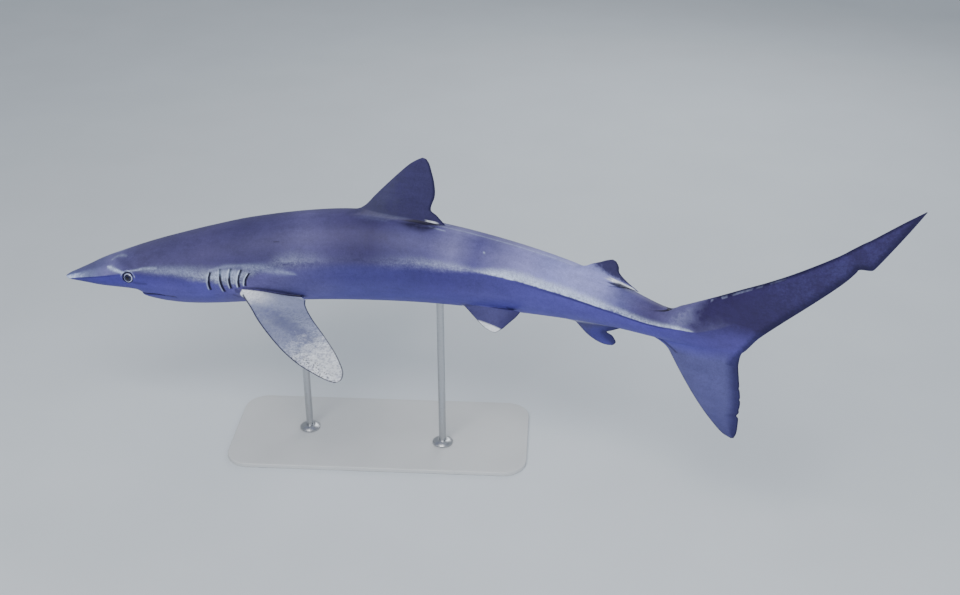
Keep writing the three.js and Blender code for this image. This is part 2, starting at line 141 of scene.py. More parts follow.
def makeSpine():
    stations = np.arange(0, 100.01, 0.1)
    turn = np.radians(curveThrough(np.arange(11) * 10, swim["headings"])(stations))
    pitch = math.radians(swim["noseDown"])
    along = np.stack(
        [np.cos(pitch) * np.cos(turn), -np.cos(pitch) * np.sin(turn), np.full(len(turn), np.sin(pitch))], 1
    )
    steps = (along[1:] + along[:-1]) / 2 * (0.1 * percent)
    at = np.vstack([np.zeros(3), np.cumsum(steps, 0)]) + swim["place"]
    left = unit(np.cross(along, (0, 0, 1)))
    up = np.cross(left, along)
    lean = np.radians(swim["tailRoll"] * np.minimum(stations / 75, 1) ** 1.5)[:, None]
    leftRolled = left * np.cos(lean) + np.cross(along, left) * np.sin(lean)
    upRolled = up * np.cos(lean) + np.cross(along, up) * np.sin(lean)
    return stations, np.hstack([at, along, leftRolled, upRolled])


spineStations, spineRows = makeSpine()


def spineAt(station):
    station = np.asarray(station, float)
    row = np.stack([np.interp(station, spineStations, spineRows[:, k]) for k in range(12)], -1)
    return row[..., 0:3], row[..., 3:6], row[..., 6:9], row[..., 9:12]


def bend(points):
    at, along, left, up = spineAt(points[..., 0])
    beyond = points[..., 0:1] - np.clip(points[..., 0:1], 0, 100)
    return at + (along * beyond + left * points[..., 1:2] + up * points[..., 2:3]) * percent


# The body's outline

body = {
    # along, back, belly, half width, level of the widest line, roundness of the belly
    "stations": [
        [0, -1.95, -2.35, 0.45, -2.15, 0.75],
        [1, -1.6, -2.42, 0.9, -2.0, 0.75],
        [2.5, -1.0, -2.55, 1.55, -1.8, 0.75],
        [5, 0.08, -2.87, 2.45, -1.5, 0.75],
        [9, 1.45, -3.42, 3.15, -1.25, 0.8],
        [9.9, 1.73, -3.95, 3.3, -1.22, 0.83],
        [10.8, 2.0, -4.45, 3.45, -1.2, 0.85],
        [12.6, 2.5, -5.15, 3.7, -1.15, 0.9],
        [15, 3.1, -5.48, 3.95, -1.0, 0.95],
        [18, 3.82, -5.55, 4.15, -0.8, 1],
        [23, 4.85, -5.37, 4.3, -0.4, 1],
        [30, 5.65, -5.25, 4.35, -0.1, 1],
        [36, 5.85, -5.2, 4.25, 0, 1],
        [42, 5.2, -5.0, 3.95, 0, 1],
        [50, 4.45, -4.5, 3.5, 0, 1],
        [56, 3.94, -3.9, 3.0, 0, 1],
        [62, 3.36, -3.2, 2.4, 0, 1],
        [68, 2.5, -2.4, 1.8, 0, 1],
        [74, 1.9, -1.75, 1.25, 0, 1],
    ],
    # upper tail lobe, from its upper margin to its lower one: x, z, x, z, half thickness,
    # share of the widest line, how much the web is pinched
    "tailRibs": [
        [76, 2.9, 77, -1.7, 1.0, 0.4, 0.35],
        [78.2, 4.15, 80, -1.35, 0.78, 0.32, 0.6],
        [80.3, 5.35, 82.5, -0.8, 0.6, 0.24, 0.85],
        [82.6, 6.7, 84.5, 1.65, 0.5, 0.24, 0.85],
        [84.9, 8.0, 86.8, 4.05, 0.42, 0.24, 0.85],
        [87.3, 9.45, 89.1, 6.35, 0.36, 0.24, 0.85],
        [89.5, 10.9, 91.2, 8.5, 0.3, 0.24, 0.85],
        [91.3, 12.15, 92.5, 9.95, 0.26, 0.24, 0.85],
        [92.1, 12.75, 93.2, 10.9, 0.24, 0.24, 0.85],
        [92.5, 13.1, 93.4, 11.22, 0.23, 0.24, 0.85],
        [93.6, 14.0, 94.5, 11.3, 0.2, 0.24, 0.85],
        [94.1, 14.35, 94.8, 11.6, 0.19, 0.24, 0.85],
        [95.2, 15.25, 96.0, 13.5, 0.16, 0.24, 0.85],
        [96.8, 16.55, 97.35, 15.75, 0.12, 0.24, 0.85],
        [98.4, 17.75, 98.45, 17.7, 0.05, 0.24, 0.85],
    ],
    "noseRounding": 0.8,
    "inset": 0.992,  # share of the solids' sections that the skin takes
    "sides": 240,
}


def bodyCurve():
    knots, rows = [], []
    for along, back, belly, half, level, roundness in body["stations"]:
        knots.append(along)
        rows.append([along, back, along, belly, half, (back - level) / (back - belly), roundness, 0])
    for ax, az, bx, bz, half, widest, pinch in body["tailRibs"]:
        knots.append((ax + bx) / 2)
        rows.append([ax, az, bx, bz, half, widest, 1, pinch])
    return curveThrough(knots, rows), knots[-1]


bodyRow, tailEnd = bodyCurve()


# Points of the straight fish at a station and an angle round it: 0 is the back, 90 its left side.
def bodyPoint(station, angle):
    ax, az, bx, bz, half, widest, roundness, pinch = np.moveaxis(bodyRow(station), -1, 0)
    c = np.cos(angle)
    beyond = np.maximum(-c, 0)
    share = np.where(c > 0, widest * (1 - c), widest + (1 - widest) * beyond ** roundness)
    thin = 1 - pinch * ease(beyond)
    tip = np.clip(station / body["noseRounding"], 0, 1)
    scale = np.sqrt(np.maximum(1 - (1 - tip) ** 2, 0)) * body["inset"]
    share = widest + (share - widest) * scale
    return np.stack([ax + (bx - ax) * share, np.sin(angle) * thin * half * scale, az + (bz - az) * share], -1)


def outwards(points):
    # Unit normals of a closed grid of points, rings first.
    along = np.gradient(points, axis=0)
    around = np.roll(points, -1, 1) - np.roll(points, 1, 1)
    return unit(np.cross(around, along))


# Where the rings of the skin lie

gills = {
    # upper end: along, level; lower end: along, level
    "slits": [
        [18.6, 0.15, 18.3, -2.2],
        [19.8, 0.55, 19.9, -2.5],
        [21.05, 0.6, 20.75, -2.0],
        [22.25, 0.5, 21.7, -1.85],
        [23.15, 0.1, 22.45, -1.65],
    ],
    "bow": 0.2,
    "depth": 4.6,
    "slope": 3.6,
    "flap": 1.0,
    "flapReach": 6,
    "from": 17.4,
    "to": 24.6,
}


def slitPlace(slit, level):
    # The slit's station at a level, and the share of its height there.
    topAlong, top, lowAlong, low = slit
    t = (top - level) / (top - low)
    near = 1 - smooth(0.15, 0.8, np.maximum(-t, t - 1))
    held = np.clip(t, -0.3, 1.3)
    there = topAlong + (lowAlong - topAlong) * held - gills["bow"] * np.sin(np.pi * np.clip(t, 0, 1))
    middle = (topAlong + lowAlong) / 2
    return middle + (there - middle) * near, t


def ringStations():
    nose = body["noseRounding"] * (1 - np.cos(np.linspace(0, 1, 15) * np.pi / 2))[1:]
    rings = list(nose)
    middles = [(s[0] + s[2]) / 2 for s in gills["slits"]]
    legs = [(7, 1.6), (13.5, 1.2), (gills["from"], 1.9)]
    legs += [(m, 1.5) for m in middles] + [(gills["to"], 1.8)]
    legs += [(34, 3.6), (73, 4), (76.5, 2), (91, 3.5), (tailEnd, 2)]
    for end, spacing in legs:
        start = rings[-1]
        count = max(1, round((end - start) * percent * 1000 / spacing))
        fresh = list(start + (end - start) * np.arange(1, count + 1) / count)
        if start in middles:
            fresh = [start + 0.03, start + 0.065] + fresh[1:]
        rings += fresh
    return np.array(rings), middles


rings, slitMiddles = ringStations()
angles = np.arange(body["sides"]) * 2 * np.pi / body["sides"]


# Near the pectoral fins the lines along the body fall towards the rear, as the fins' roots do.
shear = {"from": 21, "to": 29.5, "end": 37, "angle": 115, "fall": 22, "reach": 40}  # percent, degrees


def angleRows():
    away = np.degrees(np.minimum(angles, 2 * np.pi - angles)) - shear["angle"]
    fall = smooth(shear["from"], shear["to"], rings) * (1 - smooth(shear["to"], shear["end"], rings))
    shift = np.radians(shear["fall"]) * fall[:, None] * bump(away, 0, shear["reach"])[None, :]
    return angles + shift * np.where(angles < np.pi, 1, -1)


angleGrid = angleRows()


def ringGrid():
    # Rings run through the gill slits, so that each slit has an edge of its own.
    grid = np.repeat(rings[:, None], len(angles), 1)
    knots = [gills["from"]] + slitMiddles + [gills["to"]]
    places = []
    for slit, middle in zip(gills["slits"], slitMiddles):
        ring = np.argmin(np.abs(rings - middle))
        level = bodyPoint(np.full(len(angles), middle), angleGrid[ring])[:, 2]
        places.append(slitPlace(slit, level)[0])
    inside = (rings > gills["from"]) & (rings < gills["to"])
    for j in range(len(angles)):
        ends = [gills["from"]] + [p[j] for p in places] + [gills["to"]]
        grid[inside, j] = np.interp(rings[inside], knots, ends)
    return grid


stationGrid = ringGrid()
print("body rings", stationGrid.shape)

# Relief of the skin, in millimetres along its normal, and where its marks lie

millimetres = 1000 * percent  # in one percent of the length

farAway = 99.0  # millimetres, where a mark is out of reach

# Places and half width are in percent of the fish's length, depths and heights in millimetres.
mouth = {
    "front": 8.7,
    "corner": 12.6,
    "halfWidth": 3.2,
    "near": (6.5, 14.5),
    "top": -1.4,
    "below": -2.0,
    "depth": 3.0,
    "width": 1.5,
    "lip": 0.6,
    "lipAway": 4.2,
    "lipWidth": 2.2,
    "chin": 4.8,
    "chinFrom": (9.3, 9.9),
    "chinTo": (9.8, 13.2),
    "chinAway": (0.3, 5.5),
    "crease": 0.9,
    "muscle": 1.2,
}
nostril = {
    "along": 5.6,
    "side": 1.35,
    "top": -1.9,
    "length": 15,
    "width": 2.1,
    "slant": 35,
    "depth": 4.5,
    "flap": 0.5,
}
eye = {
    "along": 8.6,
    "level": -1.0,
    "side": 3.05,
    "steps": (0.2, 0.05),  # percent and radians, to find the skin's directions
    # brow, hollow in front, hollow behind: height, then place and reach along and upwards
    "relief": [(1.0, 0.1, 0.85, 1.0, 0.42), (-1.1, -1.3, 0.5, -0.1, 0.5), (-1.0, 1.5, 0.7, -0.25, 0.35)],
}
tailPit = {"along": 74.45, "length": 0.3, "width": 0.6, "bow": 3.2, "depth": 3.2, "keel": 0.9}

strokes = {
    # corners as station, girth and half width in millimetres, then the strength
    "pale": [
        # the first two pale strokes, by the eye, are painted caustic light from the water's surface
        ([(6.0, 46, 2), (6.35, 41, 5), (7.0, 31, 4.5), (7.7, 23.5, 3.5), (8.3, 20, 2)], 0.72),
        ([(6.4, 68, 3), (6.9, 76, 5), (7.5, 74, 5), (8.2, 66, 3)], 0.22),
        ([(8.2, 22, 1.2), (9.0, 23.5, 1.8), (9.8, 24.5, 2.4), (10.8, 26, 4), (12.2, 25, 4)], 0.46),
        ([(10.4, 24, 5), (12, 22, 9), (14, 19, 11), (16.5, 14, 12)], 0.2),
        ([(18.6, 14, 2), (20.5, 17, 4), (22.5, 16, 3)], 0.2),
        ([(19.3, 9, 6), (20.6, 8, 8), (21.8, 6, 6)], 0.3),
        ([(22.6, 15, 5), (24.6, 11.5, 8), (26.2, 7, 8), (27.6, 3, 5), (28.6, 1, 2)], 0.22),
        ([(35.4, 82, 8), (37.4, 80, 14), (39.2, 78, 8)], 0.05),
        ([(44.4, 81, 1.5), (45.4, 80, 2.5), (46.4, 79, 1.5)], 0.35),
        ([(51.85, 56, 1.1), (52.0, 52.5, 1)], 0.8),
        # a painted highlight along the ridge of the back
        ([(44.5, 89, 1), (50, 89.5, 1.6), (57, 89.5, 1.6), (62, 89, 1)], 0.26),
    ],
    "dark": [
        ([(9.2, -5, 3), (9.8, -6, 4), (10.8, -5, 2)], 0.6),
        ([(7.2, 64, 6), (7.8, 52, 12), (8.6, 40, 9), (9.2, 32, 4)], 0.4),
        ([(26.3, 42.9, 0.9), (26.9, 42.4, 0.9)], 0.8),
        ([(35.8, 17, 2.4), (36.4, 18, 2.4)], 0.3),
        # painted shadow of the first dorsal fin on the body below its rear half
        ([(40.4, 86, 8), (42.4, 77, 16), (43.8, 75, 15), (45.0, 81, 6)], 1.1),
        # the last two are painted shade in the crease before the pectoral fin's root and along the crease
        # above it
        ([(20.9, -31, 3), (21.4, -36, 4)], 0.6),
        ([(22.2, -17, 2), (24, -19.5, 4), (26, -26, 6), (27.6, -33, 7), (29, -41, 7)], 1.0),
    ],
}

# The silver band along the flank is pale skin with painted sunlight on it, ending below at a painted edge of
# shade.
band = {
    "from": 7.6,
    "to": 77.9,
    # station, girth of its lower edge, girth where it has faded, strength
    "course": [
        [0, -30, 0, 0],
        [0.6, -14, 8, 0],
        [1.2, 2, 20, 0],
        [1.9, 9, 24, 0],
        [3, 12, 26, 0],
        [5, 14.5, 28, 0],
        [7.6, 17, 28, 0],
        [8.6, 19, 30, 0.1],
        [10, 16, 34, 0.08],
        [12, 13, 34, 0.14],
        [14, 9, 33, 0.18],
        [16, 2, 32, 0.32],
        [18, -3, 30, 0.54],
        [20, -8, 27, 0.64],
        [22, -8, 24, 0.6],
        [23.5, 0, 22, 0.36],
        [25, 7, 24, 0.2],
        [26.5, 8, 36, 0.28],
        [28, 8, 38, 0.36],
        [30, 9, 36, 0.3],
        [33, 10, 32, 0.14],
        [37, 11, 32, 0.1],
        [40, 12, 34, 0.2],
        [43, 14, 36, 0.34],
        [46, 16, 36, 0.46],
        [49, 18, 35, 0.5],
        [51, 20, 34, 0.36],
        [54, 20.5, 42, 0.8],
        [57, 19, 46, 0.92],
        [60, 16, 44, 0.9],
        [64, 12, 40, 0.92],
        [68, 8, 36, 0.74],
        [72, 9, 34, 0.62],
        [74, 9, 32, 0.6],
        [75, 5, 26, 0.66],
        [75.8, -3, 18, 0.7],
        [76.6, -10, 6, 0.72],
        [77.3, -15.5, -4, 0.7],
        [77.9, -19, -11, 0.0],
    ],
}
bellyBorder = [
    # station, girth
    (0, -26), (4, -46), (8, -60), (9.4, -78), (12, -80), (18, -72), (26, -70), (60, -70), (70, -80),
    (76, -150),
]
bellyEdge = curveThrough(*zip(*bellyBorder))
bandCourse = curveThrough([row[0] for row in band["course"]], [row[1:] for row in band["course"]])


def segmentDistance(points, line):
    # Distance from each point to a line of points, through its straight pieces.
    best = np.full(points.shape[:-1], 1e9)
    for p, q in zip(line[:-1], line[1:]):
        way = q - p
        t = np.clip(((points - p) @ way) / max(way @ way, 1e-12), 0, 1)
        best = np.minimum(best, np.linalg.norm(points - p - t[..., None] * way, axis=-1))
    return best


# Half the mouth's width at a share of its length.
def mouthHalf(t):
    return mouth["halfWidth"] * np.sqrt(1 - (1 - t) ** 2)


# The line of the lips, with its points closer together at the front.
def mouthCurve():
    t = np.linspace(0, 1, 70) ** 1.6
    station = mouth["front"] + (mouth["corner"] - mouth["front"]) * t
    half = mouthHalf(t)
    width = bodyRow(station)[:, 4] * body["inset"]
    angle = np.pi - np.arcsin(np.clip(half / width, 0, 1))
    points = bodyPoint(station, angle)
    return np.vstack([(points * (1, -1, 1))[:0:-1], points])


mouthLine = mouthCurve()


strokeReach = 1.5  # percent of the length past a stroke's ends


def strokeMask(station, girth, radius, strokes):
    mask = np.zeros(station.shape)
    for corners, strength in strokes:
        corners = np.array(corners, float)
        near = (station > corners[0][0] - strokeReach) & (station < corners[-1][0] + strokeReach)
        if not near.any():
            continue
        scale = np.stack([np.full(radius[near].shape, 1.0), radius[near] * math.pi / 180], -1)
        here = np.stack([station[near], girth[near]], -1) * scale
        best = np.zeros(len(here))
        for p, q in zip(corners[:-1], corners[1:]):
            a, way = p[:2] * scale, (q[:2] - p[:2]) * scale
            t = np.clip(np.sum((here - a) * way, 1) / np.sum(way * way, 1), 0, 1)
            away = np.linalg.norm(here - a - t[:, None] * way, axis=1) * millimetres
            best = np.maximum(best, np.exp(-((away / (p[2] + (q[2] - p[2]) * t)) ** 2)))
        mask[near] = np.maximum(mask[near], strength * best)
    return mask


def mouthRelief(plain, station):
    x, y, z = np.moveaxis(plain, -1, 0)
    side = np.abs(y)
    near = (station > mouth["near"][0]) & (station < mouth["near"][1]) & (z < mouth["top"])
    away = np.full(x.shape, farAway)
    away[near] = segmentDistance(plain[near], mouthLine) * millimetres
    t = np.clip((x - mouth["front"]) / (mouth["corner"] - mouth["front"]), 0, 1)
    within = ((x > mouth["front"]) & (side < mouthHalf(t)) & (z < mouth["below"])).astype(float)
    lift = -mouth["depth"] * np.exp(-((away / mouth["width"]) ** 2))
    lift += mouth["lip"] * bump(away, mouth["lipAway"], mouth["lipWidth"]) * (1 - within)
    chin = smooth(*mouth["chinFrom"], x) * (1 - smooth(*mouth["chinTo"], x))
    chin *= smooth(*mouth["chinAway"], away)
    lift += mouth["chin"] * within * chin
    # a soft crease runs back from each corner of the mouth, below the jaw muscle
    crease = np.hypot((z + 3.1 + 0.2 * (x - 12)) * millimetres, np.maximum(np.abs(x - 13.3) - 0.6, 0) * 14)
    crease = np.where(side > 2.2, crease, farAway)
    lift -= mouth["crease"] * bump(crease, 0, 3.2)
    lift += mouth["muscle"] * bump(x, 12.3, 1.4) * bump(z, -1.9, 0.8) * smooth(2, 3, side)
    return lift, {"mouth": np.minimum(away, crease * 0.7 + 1.6)}


# A slanting slit with a small flap in front of it.
def nostrilRelief(plain):
    x, y, z = np.moveaxis(plain, -1, 0)
    slant = math.radians(nostril["slant"])
    c, s = math.cos(slant), math.sin(slant)
    dx, dy = (x - nostril["along"]) * millimetres, (np.abs(y) - nostril["side"]) * millimetres
    long, across = dy * c + dx * s, dx * c - dy * s
    under = z < nostril["top"]
    slot = np.hypot(np.maximum(np.abs(long) - nostril["length"] / 2 + 2, 0), across + 0.02 * long**2)
    slot = np.where(under, slot, farAway)
    lift = -nostril["depth"] * np.exp(-((slot / nostril["width"]) ** 2))
    lift += nostril["flap"] * bump(across, -3.4, 1.8) * bump(long, 1, 4) * under
    return lift, {"nostril": slot}


# A raised flap in front of each slit, a steep drop, and a slope back up behind it.
def gillRelief(plain):
    x, y, z = np.moveaxis(plain, -1, 0)
    lift = np.zeros(x.shape)
    marks = {"slit": np.full(x.shape, farAway), "slitHere": np.zeros(x.shape)}
    for slit in gills["slits"]:
        place, t = slitPlace(slit, z)
        behind = (x - place) * millimetres
        here = np.sqrt(np.clip(np.sin(np.pi * np.clip((t + 0.05) / 1.1, 0, 1)), 0, 1))
        front = behind < 0.05
        lift += gills["flap"] * np.exp(np.minimum(behind, 0) / gills["flapReach"]) * here * front
        lift -= gills["depth"] * np.exp(-np.maximum(behind, 0) / gills["slope"]) * here * ~front
        closer = np.abs(behind) < np.abs(marks["slit"])
        marks["slit"] = np.where(closer, behind, marks["slit"])
        marks["slitHere"] = np.where(closer, here, marks["slitHere"])
    return lift, marks


# The pits before the tail fin and the weak keels on the stem.
def stemRelief(plain, girth):
    x, y, z = np.moveaxis(plain, -1, 0)
    pit = bump(x, tailPit["along"] - tailPit["bow"] * y**2, tailPit["length"])
    pit *= bump(y, 0, tailPit["width"]) * (np.abs(z) > 1)
    keel = smooth(66, 72, x) * (1 - smooth(76, 80, x)) * bump(girth, -3, 9)
    return tailPit["keel"] * keel - tailPit["depth"] * pit, {"pit": pit}


# The brow above the eye and slight hollows in front of and behind it.
def eyeRelief(plain):
    x, y, z = np.moveaxis(plain, -1, 0)
    lift = np.zeros(x.shape)
    for height, along, length, level, width in eye["relief"]:
        lift += height * bump(x, eye["along"] + along, length) * bump(z, eye["level"] + level, width)
    offset = np.stack([x - eye["along"], np.abs(y) - eye["side"], z - eye["level"]], -1)
    away = np.linalg.norm(offset, axis=-1) * millimetres
    return lift, {"eye": away, "eyeUp": offset[..., 2] * millimetres}


# Where a point lies to the belly's border, the silver band, the tail's rim and the strokes.
def paintPlaces(station, girth):
    low, high, strength = np.moveaxis(bandCourse(station), -1, 0)
    row = bodyRow(station)
    chord = np.hypot(row[..., 2] - row[..., 0], row[..., 3] - row[..., 1])
    share = (1 - np.cos(np.radians(90 - girth))) / 2
    radius = np.sqrt(row[..., 4] * chord / 2)
    banded = (station > band["from"]) & (station < band["to"])
    return {
        "girth": girth,
        "belly": bellyEdge(station) - girth,
        "bandAbove": girth - low,
        "bandShare": (girth - low) / (high - low),
        "bandStrength": np.where(banded, np.clip(strength, 0, 1), 0),
        "rim": np.minimum(share, 1 - share) * chord * percent + 0.3 * (1 - smooth(74, 82, station)),
        **{name: strokeMask(station, girth, radius, strokes[name]) for name in strokes},
    }


# The lift of the skin at points of the plain body, and the marks that the paint reads. Girth is
# 90 degrees on the back, 0 on the side and -90 under the belly.
def relief(plain, station, angle):
    turn = angle % (2 * np.pi)
    girth = 90 - np.degrees(np.minimum(turn, 2 * np.pi - turn))
    marks = paintPlaces(station, girth)
    lift = 0
    for part in (
        mouthRelief(plain, station), nostrilRelief(plain), eyeRelief(plain), gillRelief(plain),
        stemRelief(plain, girth),
    ):
        lift = lift + part[0]
        marks.update(part[1])
    return lift, marks


# Points of the straight fish's skin at a station and an angle, with their marks. The cross product
# points outwards, because the straight fish's coordinates are left-handed.
def skinPoint(station, angle):
    plain = bodyPoint(station, angle)
    along = bodyPoint(station + 0.02, angle) - plain
    around = bodyPoint(station, angle + 0.01) - plain
    lift, marks = relief(plain, station, angle)
    return plain + unit(np.cross(along, around)) * (lift / millimetres)[..., None], marks


straight, bodyMarks = skinPoint(stationGrid, angleGrid)
grid = bend(straight)
gridNormals = outwards(grid)
print("relief done")

# The skin's mesh: the body's grid with windows, and sleeves that grow out of them

skin = {"points": [grid.reshape(-1, 3)], "count": len(rings) * len(angles), "faces": []}
finNames = ("dorsal", "pectoral", "pelvic", "anal", "lowerLobe")
markNames = tuple(sorted(bodyMarks))
paintNames = ("rest", "station", *markNames, "finSpan", "finChord", "face", *finNames)


def gridIndex(i, j):
    return i * len(angles) + j % len(angles)


paint = {name: [np.zeros(skin["count"])] for name in paintNames}
paint["rest"] = [straight.reshape(-1, 3) * percent]
paint["station"] = [stationGrid.reshape(-1)]
for name in markNames:
    paint[name] = [bodyMarks[name].reshape(-1)]

windows = np.zeros((len(rings) - 1, len(angles)), bool)


def addPoints(points, values):
    first = skin["count"]
    skin["points"].append(points)
    skin["count"] += len(points)
    for name in paintNames:
        value = values.get(name, 0.0)
        shape = (len(points), 3) if name == "rest" else (len(points),)
        paint[name].append(np.broadcast_to(np.asarray(value, float), shape))
    return first


# Opens a window in the grid and gives its rim as a loop that starts at the middle of its front.
def openWindow(fromStation, toStation, middleAngle, halfAngle):
    i0 = int(np.argmin(np.abs(rings - fromStation)))
    i1 = int(np.argmin(np.abs(rings - toStation)))
    step = 360 / len(angles)
    jm = round(middleAngle / step)
    half = max(2, round(halfAngle / step))
    for j in range(jm - half, jm + half):
        windows[i0:i1, j % len(angles)] = True
    loop = [(i0, jm + k) for k in range(half)]
    loop += [(i, jm + half) for i in range(i0, i1)]
    loop += [(i1, jm + half - k) for k in range(2 * half)]
    loop += [(i, jm - half) for i in range(i1, i0, -1)]
    loop += [(i0, jm - half + k) for k in range(half)]
    ids = np.array([gridIndex(i, j) for i, j in loop])
    tall = i1 - i0 > 2 * half
    inner = [min(max(i, i0 + half), i1 - half) if tall else (i0 + i1) // 2 for i, j in loop]
    centres = grid.reshape(-1, 3)[[gridIndex(i, jm) for i in inner]]
    starts = grid.reshape(-1, 3)[ids]
    normals = gridNormals.reshape(-1, 3)[ids]
    inwards = centres - starts
    inwards = unit(inwards - normals * np.sum(inwards * normals, 1, keepdims=True))
    return {"ids": ids, "half": half, "starts": starts, "inwards": inwards}


# The four-sided faces between two closed rings of point numbers.
def ringFaces(outer, inner):
    n = len(outer)
    return [(outer[k], outer[(k + 1) % n], inner[(k + 1) % n], inner[k]) for k in range(n)]


# Adds a ring of points to the skin and joins it to the last one.
def addRing(last, points, values):
    ring = addPoints(points, values) + np.arange(len(last))
    skin["faces"] += ringFaces(last, ring)
    return ring


def closeRing(ring, centre):
    n = len(ring)
    for k in range(n):
        skin["faces"].append((ring[k], ring[(k + 1) % n], centre))


# Closes a ring at a point that takes the first of the ring's paint values.
def capRing(ring, point, values):
    values = {key: np.asarray(v)[:1] if np.ndim(v) else v for key, v in values.items()}
    closeRing(ring, addPoints(point[None], values))


# The paint values of the skin at points of the grid.
def marksAt(ids):
    return {name: paint[name][0][ids] for name in ("rest", "station", *markNames)}


# Ring spacing is in millimetres, the thickest place is a share of the chord.
finMesh = {"filletRings": 10, "fewestRings": 12, "spacing": 3, "thickest": 0.3, "rearThinning": 0.8}


# Where a fin's section goes round: the share of its chord and its thickness, for a loop of n points.
def finSection(n, blunt):
    half = n // 2
    k = np.arange(n)
    front = np.minimum(k, n - k)
    rear = half - front
    slope = 1 / (half - blunt)
    share = np.where(front <= blunt, slope * front**2 / (2 * blunt), slope * (front - blunt / 2))
    share = np.where(rear <= blunt, 1 - slope * rear**2 / (2 * blunt), share)
    thickest = finMesh["thickest"]
    c = np.where(share < thickest, 1 - share / thickest, -(share - thickest) / (1 - thickest))
    beyond = np.maximum(-c, 0)
    thick = np.sqrt(np.clip(1 - c * c, 0, 1)) * (1 - finMesh["rearThinning"] * ease(beyond))
    return share, thick * np.where(k <= half, 1, -1)


# What a fin's paint doesn't take over from the body.
plainMarks = {name: 0 for name in ("bandStrength", "pale", "dark", "pit", "slitHere")}
noOpenings = {name: farAway for name in ("mouth", "nostril", "slit", "eye")}
plainMarks.update(noOpenings)


# Grows a fin out of a window: outline(t, share, thick) gives its points and paint values.
def growFin(window, outline, length, fin):
    ids, kind = window["ids"], fin["kind"]
    filletRings = finMesh["filletRings"]
    count = max(finMesh["fewestRings"], round(length / finMesh["spacing"]))
    share, thick = finSection(len(ids), window["half"])
    steps = np.linspace(0, 1, count)
    first = outline(steps[0], share, thick)
    away = unit(outline(steps[1], share, thick)["points"] - first["points"])
    under = marksAt(ids)
    last = ids
    for m in range(1, filletRings):
        t = m / filletRings
        leave, arrive = window["inwards"] * fin["fillet"][0], away * fin["fillet"][1]
        points = hermite(window["starts"], leave, first["points"], arrive, t)
        values = {**under, kind: ease(t), "finChord": share, "face": first["face"]}
        values["rest"] = under["rest"] + (first["rest"] - under["rest"]) * t
        values["rim"] = under["rim"] + (np.minimum(first["rim"], under["rim"]) - under["rim"]) * t
        last = addRing(last, points, values)
    for t in steps:
        made = outline(t, share, thick)
        values = {**under, **plainMarks, **made, kind: 1, "finSpan": t}
        last = addRing(last, made["points"], values)
    capRing(last, made["points"].mean(0), values)


def ribCurve(ribs):
    ribs = np.asarray(ribs, float)
    moves = np.linalg.norm(np.diff(ribs[:, :2], axis=0), axis=1)
    moves = (moves + np.linalg.norm(np.diff(ribs[:, 2:4], axis=0), axis=1)) / 2
    reach = np.concatenate([[0], np.cumsum(moves)])
    return curveThrough(reach / reach[-1], ribs), reach[-1] * percent * 1000


def rimDistance(share, chord, t, length):
    # Metres to the nearest edge of a fin.
    edge = np.minimum(share, 1 - share) * chord * percent
    return np.minimum(edge, (1 - t) * length / 1000 + 0.0005)


# A fin in the fish's middle plane. Ribs: front edge x, z, rear edge x, z, half thickness.
def uprightOutline(ribs, downwards, nicks=()):
    curve, length = ribCurve(ribs)

    def outline(t, share, thick):
        ax, az, bx, bz, half = curve(t)
        for place, width, depth in nicks:
            cut = depth * bump(t, place, width)
            bx, bz = bx + (ax - bx) * cut, bz + (az - bz) * cut
        sideways = thick * half * (-1 if downwards else 1)
        flat = np.stack([ax + (bx - ax) * share, sideways, az + (bz - az) * share], -1)
        chord = math.hypot(bx - ax, bz - az)
        return {
            "points": bend(flat),
            "rest": flat * percent,
            "finChord": share,
            "rim": rimDistance(share, chord, t, length),
            "face": np.sign(sideways),
        }

    return outline, length


# A paired fin in its own plane. Ribs: front edge span, back, rear edge span, back, half thickness.
def pairedOutline(fin, side):
    curve, length = ribCurve(fin["ribs"])
    at, along, left, up = spineAt(fin["root"][0] + 3)
    fall, rise = math.radians(fin["droop"]), math.tan(math.radians(fin["incidence"]))

    def outline(t, share, thick):
        aSpan, aBack, bSpan, bBack, half = curve(t)
        span, back = aSpan + (bSpan - aSpan) * share, aBack + (bBack - aBack) * share
        upper = -thick * side
        lift = back * rise + upper * half
        lift = lift - fin["twist"] * np.clip((back - 1.6) / 5.2, -0.5, 1.1) * (1 - smooth(0, 6, span))
        out = fin["root"][1] + span * math.cos(fall) + lift * math.sin(fall)
        high = fin["root"][2] - span * math.sin(fall) + lift * math.cos(fall)
        points = at + (
            along * (back - 3)[:, None] + left * (side * out)[:, None] + up * high[:, None]
        ) * percent
        chord = math.hypot(bSpan - aSpan, bBack - aBack)
        return {
            "points": points,
            "rest": np.stack([fin["root"][0] + back, side * out, high], -1) * percent,
            "finChord": share,
            "rim": rimDistance(share, chord, t, length),
            "face": np.sign(upper),
        }

    return outline, length


